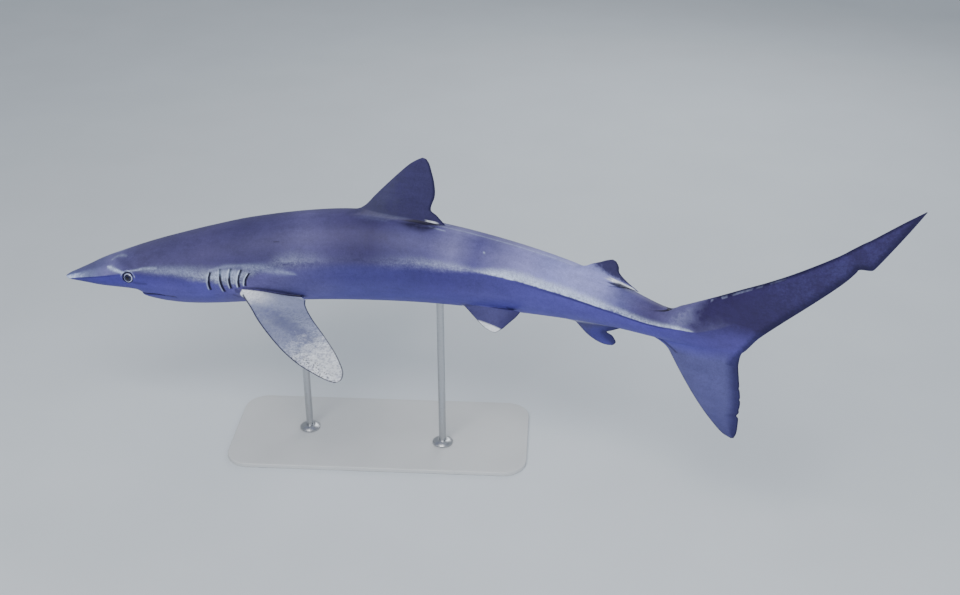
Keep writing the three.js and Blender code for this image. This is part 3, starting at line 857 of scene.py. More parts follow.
uprightFins = [
    {
        "kind": "dorsal",
        "window": (34.3, 42.9, 0, 14),
        "fillet": (0.016, 0.014),
        "ribs": [
            [36.2, 6.35, 46.15, 5.0, 0.46],
            [36.94, 6.88, 45.2, 6.05, 0.42],
            [37.93, 7.92, 44.52, 6.7, 0.36],
            [39.49, 9.42, 45.15, 8.45, 0.3],
            [41.2, 11.0, 45.22, 10.0, 0.24],
            [42.45, 12.06, 45.02, 11.3, 0.18],
            [43.4, 12.65, 44.8, 12.3, 0.13],
            [44.0, 12.93, 44.5, 12.82, 0.06],
        ],
    },
    {
        "kind": "dorsal",
        "window": (62.3, 67.0, 0, 20),
        "fillet": (0.011, 0.009),
        "ribs": [
            [63.9, 3.8, 70.6, 2.65, 0.27],
            [64.6, 4.22, 69.0, 3.42, 0.24],
            [65.6, 4.68, 68.1, 4.15, 0.19],
            [66.5, 5.15, 68.05, 4.85, 0.13],
            [67.2, 5.43, 67.75, 5.36, 0.06],
        ],
    },
    {
        "kind": "anal",
        "window": (61.0, 66.0, 180, 20),
        "fillet": (0.011, 0.009),
        "ribs": [
            [62.1, -3.65, 67.9, -2.65, 0.28],
            [62.75, -4.2, 66.8, -3.3, 0.25],
            [63.5, -4.78, 66.1, -3.7, 0.2],
            [64.5, -5.22, 66.75, -3.9, 0.16],
            [65.4, -5.38, 67.05, -4.2, 0.13],
            [66.1, -5.33, 67.25, -4.6, 0.1],
            [66.7, -5.17, 66.95, -5.03, 0.05],
        ],
    },
    {
        "kind": "lowerLobe",
        "window": (72.9, 81.7, 180, 27),
        "fillet": (0.02, 0.02),
        "ribs": [
            [74.2, -2.95, 82.35, -2.4, 0.4],
            [75.5, -5.1, 82.45, -4.0, 0.34],
            [77.05, -7.4, 82.6, -6.4, 0.26],
            [78.4, -9.07, 82.45, -8.1, 0.2],
            [79.6, -10.3, 82.35, -9.6, 0.14],
            [80.6, -11.1, 82.2, -10.6, 0.1],
            [81.5, -11.38, 81.9, -11.3, 0.05],
        ],
        "nicks": [(0.3, 0.02, 0.012), (0.44, 0.015, 0.015), (0.58, 0.02, 0.012), (0.665, 0.022, 0.06)],
    },
]

pectoral = {
    "kind": "pectoral",
    "root": [22.6, 3.6, -2.9],
    "droop": 8,
    "incidence": 0,
    "twist": 0.8,
    "window": (21.4, 28.75, 115, 9),
    "fillet": (0.009, 0.009),
    "ribs": [
        [0.75, -0.48, 0.4, 6.62, 0.72],
        [1.5, 0.0, 1.3, 6.75, 0.6],
        [2.7, 0.76, 2.6, 7.22, 0.45],
        [5.1, 2.1, 5.1, 8.36, 0.33],
        [7.8, 3.85, 8.05, 10.1, 0.28],
        [10.4, 5.77, 10.6, 11.52, 0.24],
        [12.6, 7.75, 12.5, 12.4, 0.19],
        [14.15, 9.6, 13.95, 12.92, 0.14],
        [15.0, 10.75, 14.85, 13.0, 0.11],
        [15.5, 11.6, 15.4, 12.85, 0.08],
        [15.72, 12.15, 15.68, 12.5, 0.05],
    ],
}
pelvic = {
    "kind": "pelvic",
    "root": [48.5, 2.2, -3.8],
    "droop": 42,
    "incidence": 10,
    "twist": 0,
    "window": (48.2, 54.6, 143, 10),
    "fillet": (0.008, 0.008),
    "ribs": [
        [-0.1, 0.45, -0.35, 7.95, 0.23],
        [0.38, 1.26, 0.3, 7.6, 0.2],
        [1.1, 2.45, 1.05, 7.0, 0.16],
        [1.82, 3.66, 1.75, 6.45, 0.12],
        [2.2, 4.6, 2.15, 6.0, 0.09],
        [2.38, 5.35, 2.38, 5.65, 0.05],
    ],
}


def growFins():
    for fin in uprightFins:
        window = openWindow(*fin["window"])
        outline, length = uprightOutline(fin["ribs"], fin["window"][2] == 180, fin.get("nicks", ()))
        growFin(window, outline, length, fin)
    for fin in (pectoral, pelvic):
        start, end, middle, half = fin["window"]
        for side in (1, -1):
            window = openWindow(start, end, middle if side > 0 else 360 - middle, half)
            outline, length = pairedOutline(fin, side)
            growFin(window, outline, length, fin)


growFins()
print("fins grown")


# The eye's place on the skin: its point, unit vectors backwards, up and outwards, its angle, and the
# millimetres in a radian round the body there.
def eyeFrame(side):
    stepAlong, stepRound = eye["steps"]
    ax, az, bx, bz, half, widest, roundness, pinch = bodyRow(eye["along"])
    level = az + (bz - az) * widest
    angle = np.pi / 2 - math.asin((eye["level"] - level) / (az - level))
    angle = angle if side > 0 else 2 * np.pi - angle
    at = bend(bodyPoint(np.array(eye["along"]), np.array(angle)))
    behind = bend(bodyPoint(np.array(eye["along"] + stepAlong), np.array(angle)))
    above = bend(bodyPoint(np.array(eye["along"]), np.array(angle - side * stepRound)))
    back = unit(behind - at)
    out = unit(np.cross(back, above - at)) * side
    up = np.cross(out, back) * side
    return at, back, up, out, angle, np.linalg.norm(above - at) * 1000 / stepRound


lid = {
    "opening": 13.4,  # millimetres
    "window": 19,
    "rings": 8,
    "swell": 0.9,
    # radius and height of the lid's rim and of the socket behind it, in millimetres
    "rim": [
        (12.95, 0.0), (12.65, -0.4), (12.55, -1.2), (12.9, -2.2),
        (14.6, -3.6), (15.2, -5.6), (14.0, -8.6), (10.5, -11.0), (5.0, -12.3),
    ],
    "floor": -12.6,
}


def growLid(side):
    at, back, up, out, angle, perRadian = eyeFrame(side)
    reach = lid["window"] / millimetres
    tall = math.degrees(lid["window"] / perRadian)
    window = openWindow(eye["along"] - reach, eye["along"] + reach, math.degrees(angle), tall)
    ids = window["ids"]
    offset = window["starts"] - at
    turn = np.arctan2(offset @ up, offset @ back)
    radial = np.cos(turn)[:, None] * back + np.sin(turn)[:, None] * up
    edgeStation = stationGrid.reshape(-1)[ids]
    edgeAngle = angleGrid.reshape(-1)[ids]
    lidStation = eye["along"] + np.cos(turn) * lid["opening"] / millimetres
    lidAngle = angle - side * np.sin(turn) * lid["opening"] / perRadian
    last = ids
    for m in range(1, lid["rings"] + 1):
        t = m / lid["rings"]
        station = edgeStation + (lidStation - edgeStation) * t
        around = edgeAngle + (lidAngle - edgeAngle) * t
        flat, marks = skinPoint(station, around)
        points = bend(flat)
        height = (points - at) @ out
        radius = np.linalg.norm(points - at - height[:, None] * out, axis=1) * 1000
        swell = lid["swell"] * (1 - smooth(lid["opening"], lid["opening"] + 5, radius))
        points = points + out * swell[:, None] / 1000
        if m == lid["rings"]:
            crest = height + swell / 1000
            points = at + radial * lid["opening"] / 1000 + out * crest[:, None]
        values = {**marks, "rest": flat * percent, "station": station}
        last = addRing(last, points, values)
    for n, (radius, height) in enumerate(lid["rim"]):
        keep = max(0, 1 - n / 3)
        points = at + radial * radius / 1000 + out * (crest * keep + height / 1000)[:, None]
        values = {**values, "eye": radius}
        last = addRing(last, points, values)
    capRing(last, at + out * lid["floor"] / 1000, values)


for side in (1, -1):
    growLid(side)
print("lids grown")


def makeSkin():
    nRings, nAngles = stationGrid.shape
    i, j = np.nonzero(~windows)
    nextJ = (j + 1) % nAngles
    here, behind = i * nAngles, (i + 1) * nAngles
    quads = np.stack([here + j, here + nextJ, behind + nextJ, behind + j], 1)
    noseTip = bend(np.array([[0.0, 0.0, bodyPoint(np.array(0.0), np.array(0.0))[2]]]))
    nose = addPoints(noseTip, {**noOpenings, "rest": (0, 0, -0.045), "rim": 1})
    endRing = (nRings - 1) * nAngles + np.arange(nAngles)
    tip = {**noOpenings, "rest": straight[-1].mean(0) * percent, "station": tailEnd}
    end = addPoints(grid[-1].mean(0, keepdims=True), tip)
    closeRing(np.arange(nAngles)[::-1], nose)
    closeRing(endRing, end)
    points = np.concatenate(skin["points"])
    faces = quads.tolist() + skin["faces"]
    used = np.zeros(len(points), bool)
    used[np.concatenate(faces)] = True
    fresh = np.cumsum(used) - 1
    faces = [fresh[list(f)].tolist() for f in faces]
    mesh = bpy.data.meshes.new("shark_skin")
    mesh.from_pydata(points[used].tolist(), [], faces)
    mesh.update()
    mesh.shade_smooth()
    for name in paintNames:
        values = np.concatenate(paint[name])[used].astype(np.float32)
        layer = mesh.attributes.new(name, "FLOAT_VECTOR" if name == "rest" else "FLOAT", "POINT")
        layer.data.foreach_set("vector" if name == "rest" else "value", values.ravel())
    return linked(mesh)


skinObject = makeSkin()
print("skin", len(skinObject.data.polygons), "faces")

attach(skinObject, "root")
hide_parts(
    "head", "lower_jaw", "gill_region", "trunk_shoulder", "trunk_back", "trunk_rear",
    "tail_stem", "tail_lobe_upper", "tail_lobe_lower", "dorsal_fin_first", "dorsal_fin_second",
    "anal_fin", "pectoral_fin_left", "pectoral_fin_right", "pelvic_fin_left", "pelvic_fin_right",
)


# A closed turned form about an axis, such as an eye or a rod. The profile is radius and height, from
# one end to the other.
def turned(name, profile, at, axis, across, segments):
    turn = np.arange(segments) * 2 * np.pi / segments
    other = np.cross(axis, across)
    circle = np.cos(turn)[:, None] * across + np.sin(turn)[:, None] * other
    points = [at + axis * profile[0][1]]
    places = [(0.0, 0.0, profile[0][1])]
    for radius, height in profile[1:-1]:
        points += list(at + circle * radius + axis * height)
        places += [(radius * math.cos(t), radius * math.sin(t), height) for t in turn]
    points.append(at + axis * profile[-1][1])
    places.append((0.0, 0.0, profile[-1][1]))
    n, last = segments, len(points) - 1
    faces = [(0, 1 + (k + 1) % n, 1 + k) for k in range(n)]
    for first in range(1, last - n, n):
        faces += ringFaces(range(first, first + n), range(first + n, first + 2 * n))
    faces += [(last, last - n + k, last - n + (k + 1) % n) for k in range(n)]
    return meshPiece(name, points, faces, places)


def meshPiece(name, points, faces, places=None):
    mesh = bpy.data.meshes.new(name)
    mesh.from_pydata([tuple(p) for p in points], [], faces)
    if places is not None:
        layer = mesh.attributes.new("place", "FLOAT_VECTOR", "POINT")
        layer.data.foreach_set("vector", np.array(places, np.float32).ravel())
    work = bmesh.new()
    work.from_mesh(mesh)
    bmesh.ops.recalc_face_normals(work, faces=work.faces)
    work.to_mesh(mesh)
    work.free()
    return linked(mesh)


# In millimetres; the front falls by the curve times the squared radius.
eyeball = {"front": 3.0, "curve": 0.033, "radius": 14.5, "back": -11.0, "rings": 40, "sides": 72}


def makeEyes():
    made = []
    for side, name in ((1, "left"), (-1, "right")):
        at, back, up, out, angle, perRadian = eyeFrame(side)
        radii = np.linspace(0, eyeball["radius"], eyeball["rings"])
        front = [(r, eyeball["front"] - eyeball["curve"] * r * r) for r in radii]
        low = front[-1][1]
        rear = [
            (eyeball["radius"] * math.cos(t), low - (low - eyeball["back"]) * math.sin(t))
            for t in np.linspace(0, math.pi / 2, 16)[1:]
        ]
        profile = [(r / 1000, h / 1000) for r, h in front + rear]
        ball = turned("eye_ball_" + name, profile, at, out, back, eyeball["sides"])
        ball.data.shade_smooth()
        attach(ball, "root")
        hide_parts("eye_" + name)
        made.append(ball)
    return made


eyes = makeEyes()
print("eyes made")

# The display stand

stand = {
    "length": 0.76,
    "width": 0.32,
    "thickness": 0.012,
    "corner": 0.06,
    "edge": 0.003,
    "rod": 0.009,
    "sunk": 0.004,
    "intoBelly": 0.006,
    "collar": 0.026,
    "collarHeight": 0.012,
    "collarGap": 0.0001,
    "collarEdge": 0.0006,
    "collarTop": 0.003,
    "shoulder": 0.4,  # share of the collar's height
    "crownPower": 1.7,
    "cornerSteps": 24,
    "edgeSteps": 6,
    "crownSteps": 12,
    "rodSides": 64,
    "collarSides": 96,
    "stations": {"front": 28, "rear": 45},
}


def makePlate():
    x, y, r = stand["length"] / 2, stand["width"] / 2, stand["corner"]
    low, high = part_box("stand_base")
    middle = ((low + high) / 2).to_2d()
    corner = []
    for cx, cy, start in ((x - r, y - r, 0), (r - x, y - r, 90), (r - x, r - y, 180), (x - r, r - y, 270)):
        for k in range(stand["cornerSteps"] + 1):
            a = math.radians(start + k * 90 / stand["cornerSteps"])
            corner.append((cx, cy, math.cos(a), math.sin(a)))
    rings = []
    for k in range(stand["edgeSteps"] + 1):
        a = math.radians(-90 + k * 90 / stand["edgeSteps"])
        rings.append((stand["edge"] * (math.cos(a) - 1), stand["edge"] * (1 + math.sin(a))))
    rings += [(inset, stand["thickness"] - height) for inset, height in reversed(rings)]
    points = [
        (middle.x + cx + (r + inset) * c, middle.y + cy + (r + inset) * s, height)
        for inset, height in rings
        for cx, cy, c, s in corner
    ]
    n = len(corner)
    faces = [tuple(range(n))[::-1], tuple(range(len(points) - n, len(points)))]
    for first in range(0, len(points) - n, n):
        faces += ringFaces(range(first, first + n), range(first + n, first + 2 * n))
    plate = meshPiece("stand_plate", points, faces)
    plate.data.shade_smooth()
    for k in (0, 1):
        plate.data.polygons[k].use_smooth = False
    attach(plate, "root")
    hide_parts("stand_base")
    return plate


# Upright to its shoulder, then a crown that falls in towards the rod.
def collarProfile():
    inner, outer, tall = stand["rod"] + stand["collarGap"], stand["collar"], stand["collarHeight"]
    edge, top, shoulder = stand["collarEdge"], inner + stand["collarTop"], stand["shoulder"]
    profile = [(inner, 0), (outer - edge, 0), (outer, edge), (outer, tall * shoulder)]
    for k in range(1, stand["crownSteps"] + 1):
        t = k / stand["crownSteps"]
        rise = shoulder + (1 - shoulder) * (1 - (1 - t) ** stand["crownPower"])
        profile.append((outer + (top - outer) * t, tall * rise))
    return profile + [(inner, tall)]


def makeRods():
    made = []
    upright, across = np.array([0.0, 0.0, 1.0]), np.array([1.0, 0.0, 0.0])
    top = stand["thickness"]
    for name, station in stand["stations"].items():
        at = spineAt(station)[0]
        belly = bodyRow(station)[3] * body["inset"] * percent
        foot = np.array([at[0], at[1], top])
        height = at[2] + belly + stand["intoBelly"] - top
        r = stand["rod"]
        profile = [(0, -stand["sunk"]), (r, -stand["sunk"]), (r, height), (0, height)]
        rod = turned("stand_rod_" + name + "_steel", profile, foot, upright, across, stand["rodSides"])
        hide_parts("stand_rod_" + name)
        collar = lathed("stand_collar_" + name + "_steel", collarProfile(), foot, stand["collarSides"])
        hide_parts("stand_collar_" + name)
        made += [rod, collar]
    for piece in made:
        piece.data.shade_smooth()
        piece.data.set_sharp_from_angle(angle=math.radians(35))
        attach(piece, "root")
    return made


# A ring turned about an upright axis; its profile is a closed loop of radius and height.
def lathed(name, profile, at, segments):
    n = len(profile)
    points, places, faces = [], [], []
    for k in range(segments):
        a = 2 * math.pi * k / segments
        for radius, height in profile:
            places.append((radius * math.cos(a), radius * math.sin(a), height))
            points.append((at[0] + places[-1][0], at[1] + places[-1][1], at[2] + height))
        for m in range(n):
            here, there = k * n, (k + 1) % segments * n
            faces.append((here + m, there + m, there + (m + 1) % n, here + (m + 1) % n))
    return meshPiece(name, points, faces, places)


plate = makePlate()
rods = makeRods()
print("stand made")


# Linear light of a screen colour given from 0 to 255.
def screen(*levels):
    shares = [v / 255 for v in levels]
    return (*[v / 12.92 if v <= 0.04045 else ((v + 0.055) / 1.055) ** 2.4 for v in shares], 1)


class Signal:
    # One output socket of a material, with arithmetic on numbers.
    def __init__(self, shade, socket):
        self.shade, self.socket = shade, socket

    def combine(self, operation, first, second):
        return self.shade.node("ShaderNodeMath", {"operation": operation}, {0: first, 1: second})

    def __add__(self, other):
        return self.combine("ADD", self, other)

    def __sub__(self, other):
        return self.combine("SUBTRACT", self, other)

    def __rsub__(self, other):
        return self.combine("SUBTRACT", other, self)

    def __mul__(self, other):
        return self.combine("MULTIPLY", self, other)

    def __pow__(self, other):
        return self.combine("POWER", self, other)

    __radd__, __rmul__ = __add__, __mul__

    def larger(self, other):
        return self.combine("MAXIMUM", self, other)

    # 0 below low and 1 above high, smoothly; high may be the lower one.
    def between(self, low, high):
        return self.shade.node(
            "ShaderNodeMapRange", {"interpolation_type": "SMOOTHSTEP"},
            {"Value": self, "From Min": low, "From Max": high},
        )


class Shade:
    # A material whose nodes are made one by one.
    def __init__(self, name):
        self.material = bpy.data.materials.new(name)
        self.material.use_nodes = True
        self.tree = self.material.node_tree
        self.tree.nodes.clear()

    def node(self, kind, settings=None, values=None, output=0):
        made = self.tree.nodes.new(kind)
        for name, value in (settings or {}).items():
            if name == "stops":
                ramp = made.color_ramp
                for place, colour in value[2:]:
                    ramp.elements.new(place)
                for element, (place, colour) in zip(ramp.elements, value):
                    element.position = place
                for element, (place, colour) in zip(ramp.elements, value):
                    element.color = colour
            else:
                setattr(made, name, value)
        for key, value in (values or {}).items():
            if isinstance(value, Signal):
                self.tree.links.new(value.socket, made.inputs[key])
            else:
                made.inputs[key].default_value = value
        return Signal(self, made.outputs[output]) if made.outputs else None

    def read(self, name):
        return self.node("ShaderNodeAttribute", {"attribute_name": name}, output="Fac")

    def mix(self, first, second, share):
        return self.node("ShaderNodeMix", {"data_type": "RGBA"}, {0: share, 6: first, 7: second}, 2)

    def noise(self, place, scale, detail=2, roughness=0.5, stretch=None):
        if stretch:
            place = self.node("ShaderNodeVectorMath", {"operation": "MULTIPLY"}, {0: place, 1: stretch})
        return self.node(
            "ShaderNodeTexNoise", None,
            {"Vector": place, "Scale": scale, "Detail": detail, "Roughness": roughness},
        )

    # Colours along the fish, from stops of station and screen colour.
    def along(self, station, stops):
        stops = [(place / 100, screen(*colour)) for place, colour in stops]
        return self.node("ShaderNodeValToRGB", {"stops": stops}, {0: station * 0.01})

    def finish(self, values, bumps=()):
        normal = None
        for height, distance, strength in bumps:
            sizes = {"Height": height, "Distance": distance, "Strength": strength}
            if normal:
                sizes["Normal"] = normal
            normal = self.node("ShaderNodeBump", None, sizes)
        if normal:
            values = {**values, "Normal": normal}
        surface = self.node("ShaderNodeBsdfPrincipled", None, values)
        self.node("ShaderNodeOutputMaterial", None, {"Surface": surface})
        return self.material


skinPaint = {
    # the pale stops from 48 to 66 are painted sunlight on the rear of the back
    "back": [
        (0, (158, 176, 240)), (1.3, (157, 176, 232)), (2, (138, 148, 200)), (3, (124, 132, 176)),
        (4.6, (106, 109, 158)), (6, (110, 108, 161)), (8, (84, 81, 132)), (10, (76, 72, 116)),
        (14, (72, 68, 113)), (18, (73, 68, 114)), (22, (65, 61, 106)), (26, (68, 64, 109)),
        (30, (84, 80, 128)), (34, (66, 61, 107)), (38, (55, 50, 95)), (42, (77, 74, 123)),
        (45, (84, 81, 132)), (48, (112, 110, 160)), (51, (84, 81, 138)), (54, (111, 109, 162)),
        (57, (133, 132, 188)), (60, (136, 138, 198)), (63, (149, 151, 209)), (66, (145, 147, 204)),
        (69, (94, 94, 150)), (71, (79, 75, 126)), (73, (68, 62, 108)), (75.5, (95, 92, 140)),
    ],
    "flank": [
        (0, (118, 125, 169)), (1.5, (70, 68, 136)), (3, (64, 61, 138)), (6, (66, 62, 146)),
        (9, (72, 68, 150)), (14, (80, 75, 152)), (18, (80, 76, 158)), (23, (89, 83, 140)),
        (27, (89, 86, 137)), (31, (86, 83, 143)), (35, (75, 73, 140)), (43, (69, 66, 135)),
        (47, (70, 65, 137)), (52, (76, 72, 143)), (58, (77, 73, 151)), (66, (79, 74, 158)),
        (74, (74, 68, 155)), (80, (73, 66, 136)),
    ],
    "lowFlank": (79, 77, 163),
    "belly": (228, 231, 238),
    # pale skin in painted sunlight for the band, and the painted highlights at the gill flaps
    "silver": (206, 219, 246),
    "grey": (136, 142, 176),
    "pale": (190, 206, 240),
    # near black, for dark marks and spots, and for painted shade in openings, creases and slots
    "inkAndShade": (14, 10, 36),
    # painted shade under the silver band's lower edge
    "underBandShade": (40, 34, 92),
    "dorsal": (54, 50, 92),
    "dorsalFront": (66, 65, 98),
    "dorsalRim": (16, 10, 54),
    "tailLobe": (44, 35, 82),
    "tailPale": (62, 59, 112),
    "lowerLobe": (82, 82, 136),
    "lobeDark": (36, 32, 84),
    # the pale upper side of the pectoral fins, partly painted sunlight
    "pectoral": (152, 159, 188),
    "pectoralDark": (106, 110, 148),
    # white of the fins, and painted sunlight on the pale parts of the pectoral and pelvic fins and under the
    # dorsal tips
    "finWhiteAndSunlit": (236, 240, 246),
    "finRim": (22, 16, 64),
    "pelvic": (74, 72, 122),
    "anal": (62, 60, 132),
    "analDark": (34, 30, 80),
}


skinNoise = {
    # scale, detail, roughness, stretch
    "cloud": (20, 3),
    "patch": (55, 3),
    "mottle": (150, 3, 0.65),
    "streak": (60, 4, 0.65, (0.16, 1, 1)),
    "grain": (380, 2, 0.6),
}


# The skin's colours, the marks that its points carry, and the noises that vary them.
class SkinShade(Shade):
    def __init__(self):
        super().__init__("shark_skin_paint")
        self.colour = {name: screen(*value) for name, value in skinPaint.items() if isinstance(value, tuple)}
        self.rest = self.node("ShaderNodeAttribute", {"attribute_name": "rest"}, output="Vector")
        self.marks = {name: self.read(name) for name in paintNames if name != "rest"}
        self.station, self.girth = self.marks["station"], self.marks["girth"]
        self.span, self.chord = self.marks["finSpan"], self.marks["finChord"]
        self.rim = self.marks["rim"]
        self.below = self.marks["face"].between(0.2, -0.2)
        noises = [self.noise(self.rest, *values) - 0.5 for values in skinNoise.values()]
        self.cloud, self.patch, self.mottle, self.streak, self.grain = noises
        # degrees above the silver band's lower edge, ragged but on the head and the rear
        self.head, self.rear = self.station.between(9, 6), self.station.between(46, 54)
        ragged = self.cloud * 5 + self.patch * 4 + self.mottle * 4 + self.streak * 5
        self.above = self.marks["bandAbove"] + ragged * (1 - self.rear * 0.72) * (1 - self.head * 0.75)

    def over(self, tone, name, share):
        return self.mix(tone, self.colour[name], share)


def paintTrunk(s):
    station, girth, above, streak = s.station, s.girth, s.above, s.streak
    tone = s.along(station, skinPaint["flank"])
    # the deeper blue low on the flank is partly the fish's own blue and partly painted shade
    low = above.between(-30, -60) * station.between(12, 22)
    tone = s.over(tone, "lowFlank", low * 0.5)
    # painted shade just under the band's lower edge, along the trunk and on the cheek
    shadow = above.between(-36, -12) * above.between(6, -4)
    shadow = shadow * station.between(26, 34) * station.between(62, 50)
    cheekShadow = above.between(-20, -5) * above.between(8, -3) * station.between(8.5, 10) * station.between(18, 14)
    tone = s.over(tone, "underBandShade", shadow.larger(cheekShadow) * (0.4 + streak * 0.8))
    crisp = s.rear.larger(s.head)
    tone = s.mix(tone, s.along(station, skinPaint["back"]), above.between(-7 + crisp * 6, 7 - crisp * 4))
    snoutTop = station.between(7, 3) * girth.between(34, 66)
    tone = s.over(tone, "pelvic", snoutTop * 0.85)
    # a thin painted line of shade along the band's lower edge, on the tail stem and near the snout's tip
    line = above.between(-6, -2.4) * above.between(2.2, -0.6)
    onStem = station.between(54, 63) * station.between(77, 74)
    onSnout = station.between(0.6, 1.4) * s.head * 0.7
    tone = s.over(tone, "underBandShade", line * onStem.larger(onSnout) * (0.72 + streak))
    belly = (s.marks["belly"] + s.cloud * 12 + s.patch * 8 + s.mottle * 6).between(-8, 10)
    return s.over(tone, "belly", belly)


# The silver band, the flank's pale skin with painted sunlight on it: crisp below, where the painted shade
# begins, faded and mottled above.
def paintBand(s, tone):
    above, mottle, streak, grain = s.above, s.mottle, s.streak, s.grain
    share = s.marks["bandShare"] + streak * 0.75 + mottle * 0.5 + s.patch * 0.3
    silver = s.marks["bandStrength"] * above.between(-9 + s.rear * 8.2, 12 - s.rear * 10)
    silver = silver * share.between(1.05, 0.12) * (0.86 + streak * 1.5 + mottle * 1.4 + grain * 0.7)
    tone = s.over(tone, "silver", silver.between(0, 1))
    snout = s.station.between(4.2, 0.4) * above.between(-1, 4) * s.girth.between(66, 30)
    snout = snout * (0.75 + mottle * 3 + grain * 1.5)
    return s.over(tone, "silver", snout.between(0.05, 1.1))


# Grey before a dark upper lobe, with grey dashes below its upper margin.
def paintTail(s, tone):
    station, girth, patch, mottle = s.station, s.girth, s.patch, s.mottle
    ownTail = 1 - s.marks["lowerLobe"]
    border = station + patch * 2 + mottle * 2 - 78 - (girth.larger(-20) - 25) * 0.026
    underside = girth + 16 + (station - 80).larger(0) ** 2 * 4 + patch * 24
    before = border.between(-3.4, -1.6) * girth.between(-4, 4) * girth.between(66, 40)
    tone = s.over(tone, "grey", before * (0.2 + mottle * 1.2) * ownTail)
    tone = s.over(tone, "tailLobe", border.between(-1.1, 1.6) * underside.between(-26, 22) * ownTail)
    dashes = s.noise(s.rest, 46, 1, 0.5, (1, 0.2, 1)).between(0.47, 0.58)
    dashes = dashes * girth.between(50, 60) * girth.between(78, 70)
    dashes = dashes * station.between(79.4, 80.4) * station.between(89.5, 87)
    tone = s.over(tone, "grey", dashes * (0.7 + mottle * 1.6))
    lighter = station.between(82, 88) * (0.3 + mottle * 0.8 + s.cloud * 0.6)
    tone = s.over(tone, "tailPale", lighter.between(0, 1) * ownTail)
    edge = (s.rim + (mottle - 0.1) * 0.004).between(0.014, 0.0015) * station.between(79.5, 82)
    return s.over(tone, "dorsalRim", edge * 0.8)


# Both dorsal fins, with a white strip under their free rear tips, partly the pale inner margin and partly
# painted sunlight, and painted shadow in the slot beneath.
def paintDorsalFins(s, tone):
    span, chord, join, mottle = s.span, s.chord, s.marks["dorsal"], s.mottle
    second = s.station.between(52, 56)
    depth = (chord + span * 0.6 + s.patch * 0.8 + mottle * 0.4).between(0.0, 0.75)
    fin = s.over(s.colour["dorsalFront"], "dorsal", depth)
    small = (span * 1.5 + chord * 0.5 + s.patch * 0.5 + mottle * 0.9).between(0.2, 0.95)
    fin = s.mix(fin, s.over(tone, "dorsal", small), second)
    fin = s.over(fin, "dorsalRim", s.rim.between(0.009, 0.001) * chord.between(0.55, 0.8) * 0.8)
    tone = s.mix(tone, fin, join)
    # the white strip: the pale inner margin of each free rear tip, partly painted sunlight
    strip = span.between(0.026, 0.012) * chord.between(0.75, 0.8) * chord.between(0.94, 0.88) * (1 - second)
    wide = span.between(0.11, 0.06) * chord.between(0.4, 0.56) * chord.between(0.97, 0.9) * second
    strip = join.between(0.9 - second * 0.25, 0.98 - second * 0.15) * strip.larger(wide)
    tone = s.over(tone, "finWhiteAndSunlit", strip * (0.8 + mottle))
    # painted shadow in the slot between each free rear tip and the body
    slot = join.between(0.3, 0.5) * join.between(0.99, 0.9) * chord.between(0.58, 0.7) * (0.9 + mottle * 0.6)
    return s.over(tone, "inkAndShade", slot)


def paintLowerFins(s, tone):
    span, chord, rim, patch = s.span, s.chord, s.rim, s.patch
    fin = s.over(s.colour["pelvic"], "anal", (span + chord * 0.5 + patch * 0.5).between(0.1, 0.6))
    fin = s.over(fin, "analDark", (chord + span * 0.4 + patch * 0.4).between(0.62, 1.0) * 0.75)
    fin = s.over(fin, "finRim", rim.between(0.006, 0.0012) * 0.9)
    tone = s.mix(tone, fin, s.marks["anal"])
    tip = (span * 0.8 + patch * 0.5 + s.mottle * 0.5).between(0.3, 1.1)
    fin = s.over(s.colour["lowerLobe"], "lobeDark", tip * 0.6)
    fin = s.over(fin, "lobeDark", rim.between(0.036, 0.006) * chord.between(0.45, 0.7) * 0.9)
    fin = s.over(fin, "finRim", rim.between(0.005, 0.0015) * 0.9)
    return s.mix(tone, fin, s.marks["lowerLobe"])


# Dark and pale above, with a white tip and fine spots, and white below. The pale upper side and the white tip
# are partly painted sunlight, and painted shade darkens the crease along the root.
def paintPectoralFins(s, tone):
    span, chord, patch, mottle, join = s.span, s.chord, s.patch, s.mottle, s.marks["pectoral"]
    middle = span.between(0.06, 0.2) * span.between(0.74, 0.5) * chord.between(1.0, 0.4)
    blotch = (span - 0.22 - chord * 0.3 + patch * 0.2) ** 2 * 26 + (chord - 0.48) ** 2 * 5
    middle = (middle * 0.5).larger(blotch.between(1.2, 0) * 0.8)
    dark = (middle * 0.9 + s.cloud * 0.7 + patch * 0.7 + mottle * 0.6).between(0, 1)
    fin = s.over(s.colour["pectoral"], "pectoralDark", dark)
    # the pale upper side and white tip, partly painted sunlight
    white = (span + chord * 0.25 + patch * 0.3 + mottle * 0.3 + s.grain * 0.3).between(0.56, 0.92)
    root = chord.between(0.6, 0.15) * (span + patch * 0.1).between(0.14, 0.02)
    fin = s.over(fin, "finWhiteAndSunlit", (white * 0.92).larger(root * (0.86 + mottle)))
    stipple = s.noise(s.rest, 170, 2).between(0.5, 0.62) * span.between(0.02, 0.2)
    fin = s.over(fin, "pectoralDark", stipple * 0.42)
    dots = s.noise(s.rest, 240, 2).between(0.56, 0.62) * span.between(0.55, 0.8)
    dots = dots * (chord - span * 0.5).between(0.3, -0.1)
    fin = s.over(fin, "inkAndShade", dots * 0.8)
    fin = s.over(fin, "dorsalRim", s.rim.between(0.0042, 0.0012) * 0.9)
    fin = s.over(fin, "belly", s.below * s.rim.between(0.001, 0.004))
    begin = chord.between(0.16, 0.02) * 0.36 + chord.between(0.45, 0.8) * 0.2
    tone = s.mix(tone, fin, join.between(0.24 + begin, 0.4 + begin))
    # painted shade in the crease along the root's upper side
    crease = join.between(0.0, 0.1) * join.between(0.4 + begin, 0.24 + begin)
    crease = crease * s.marks["face"].between(-0.2, 0.3)
    return s.over(tone, "inkAndShade", crease * (0.4 + chord * 0.55))


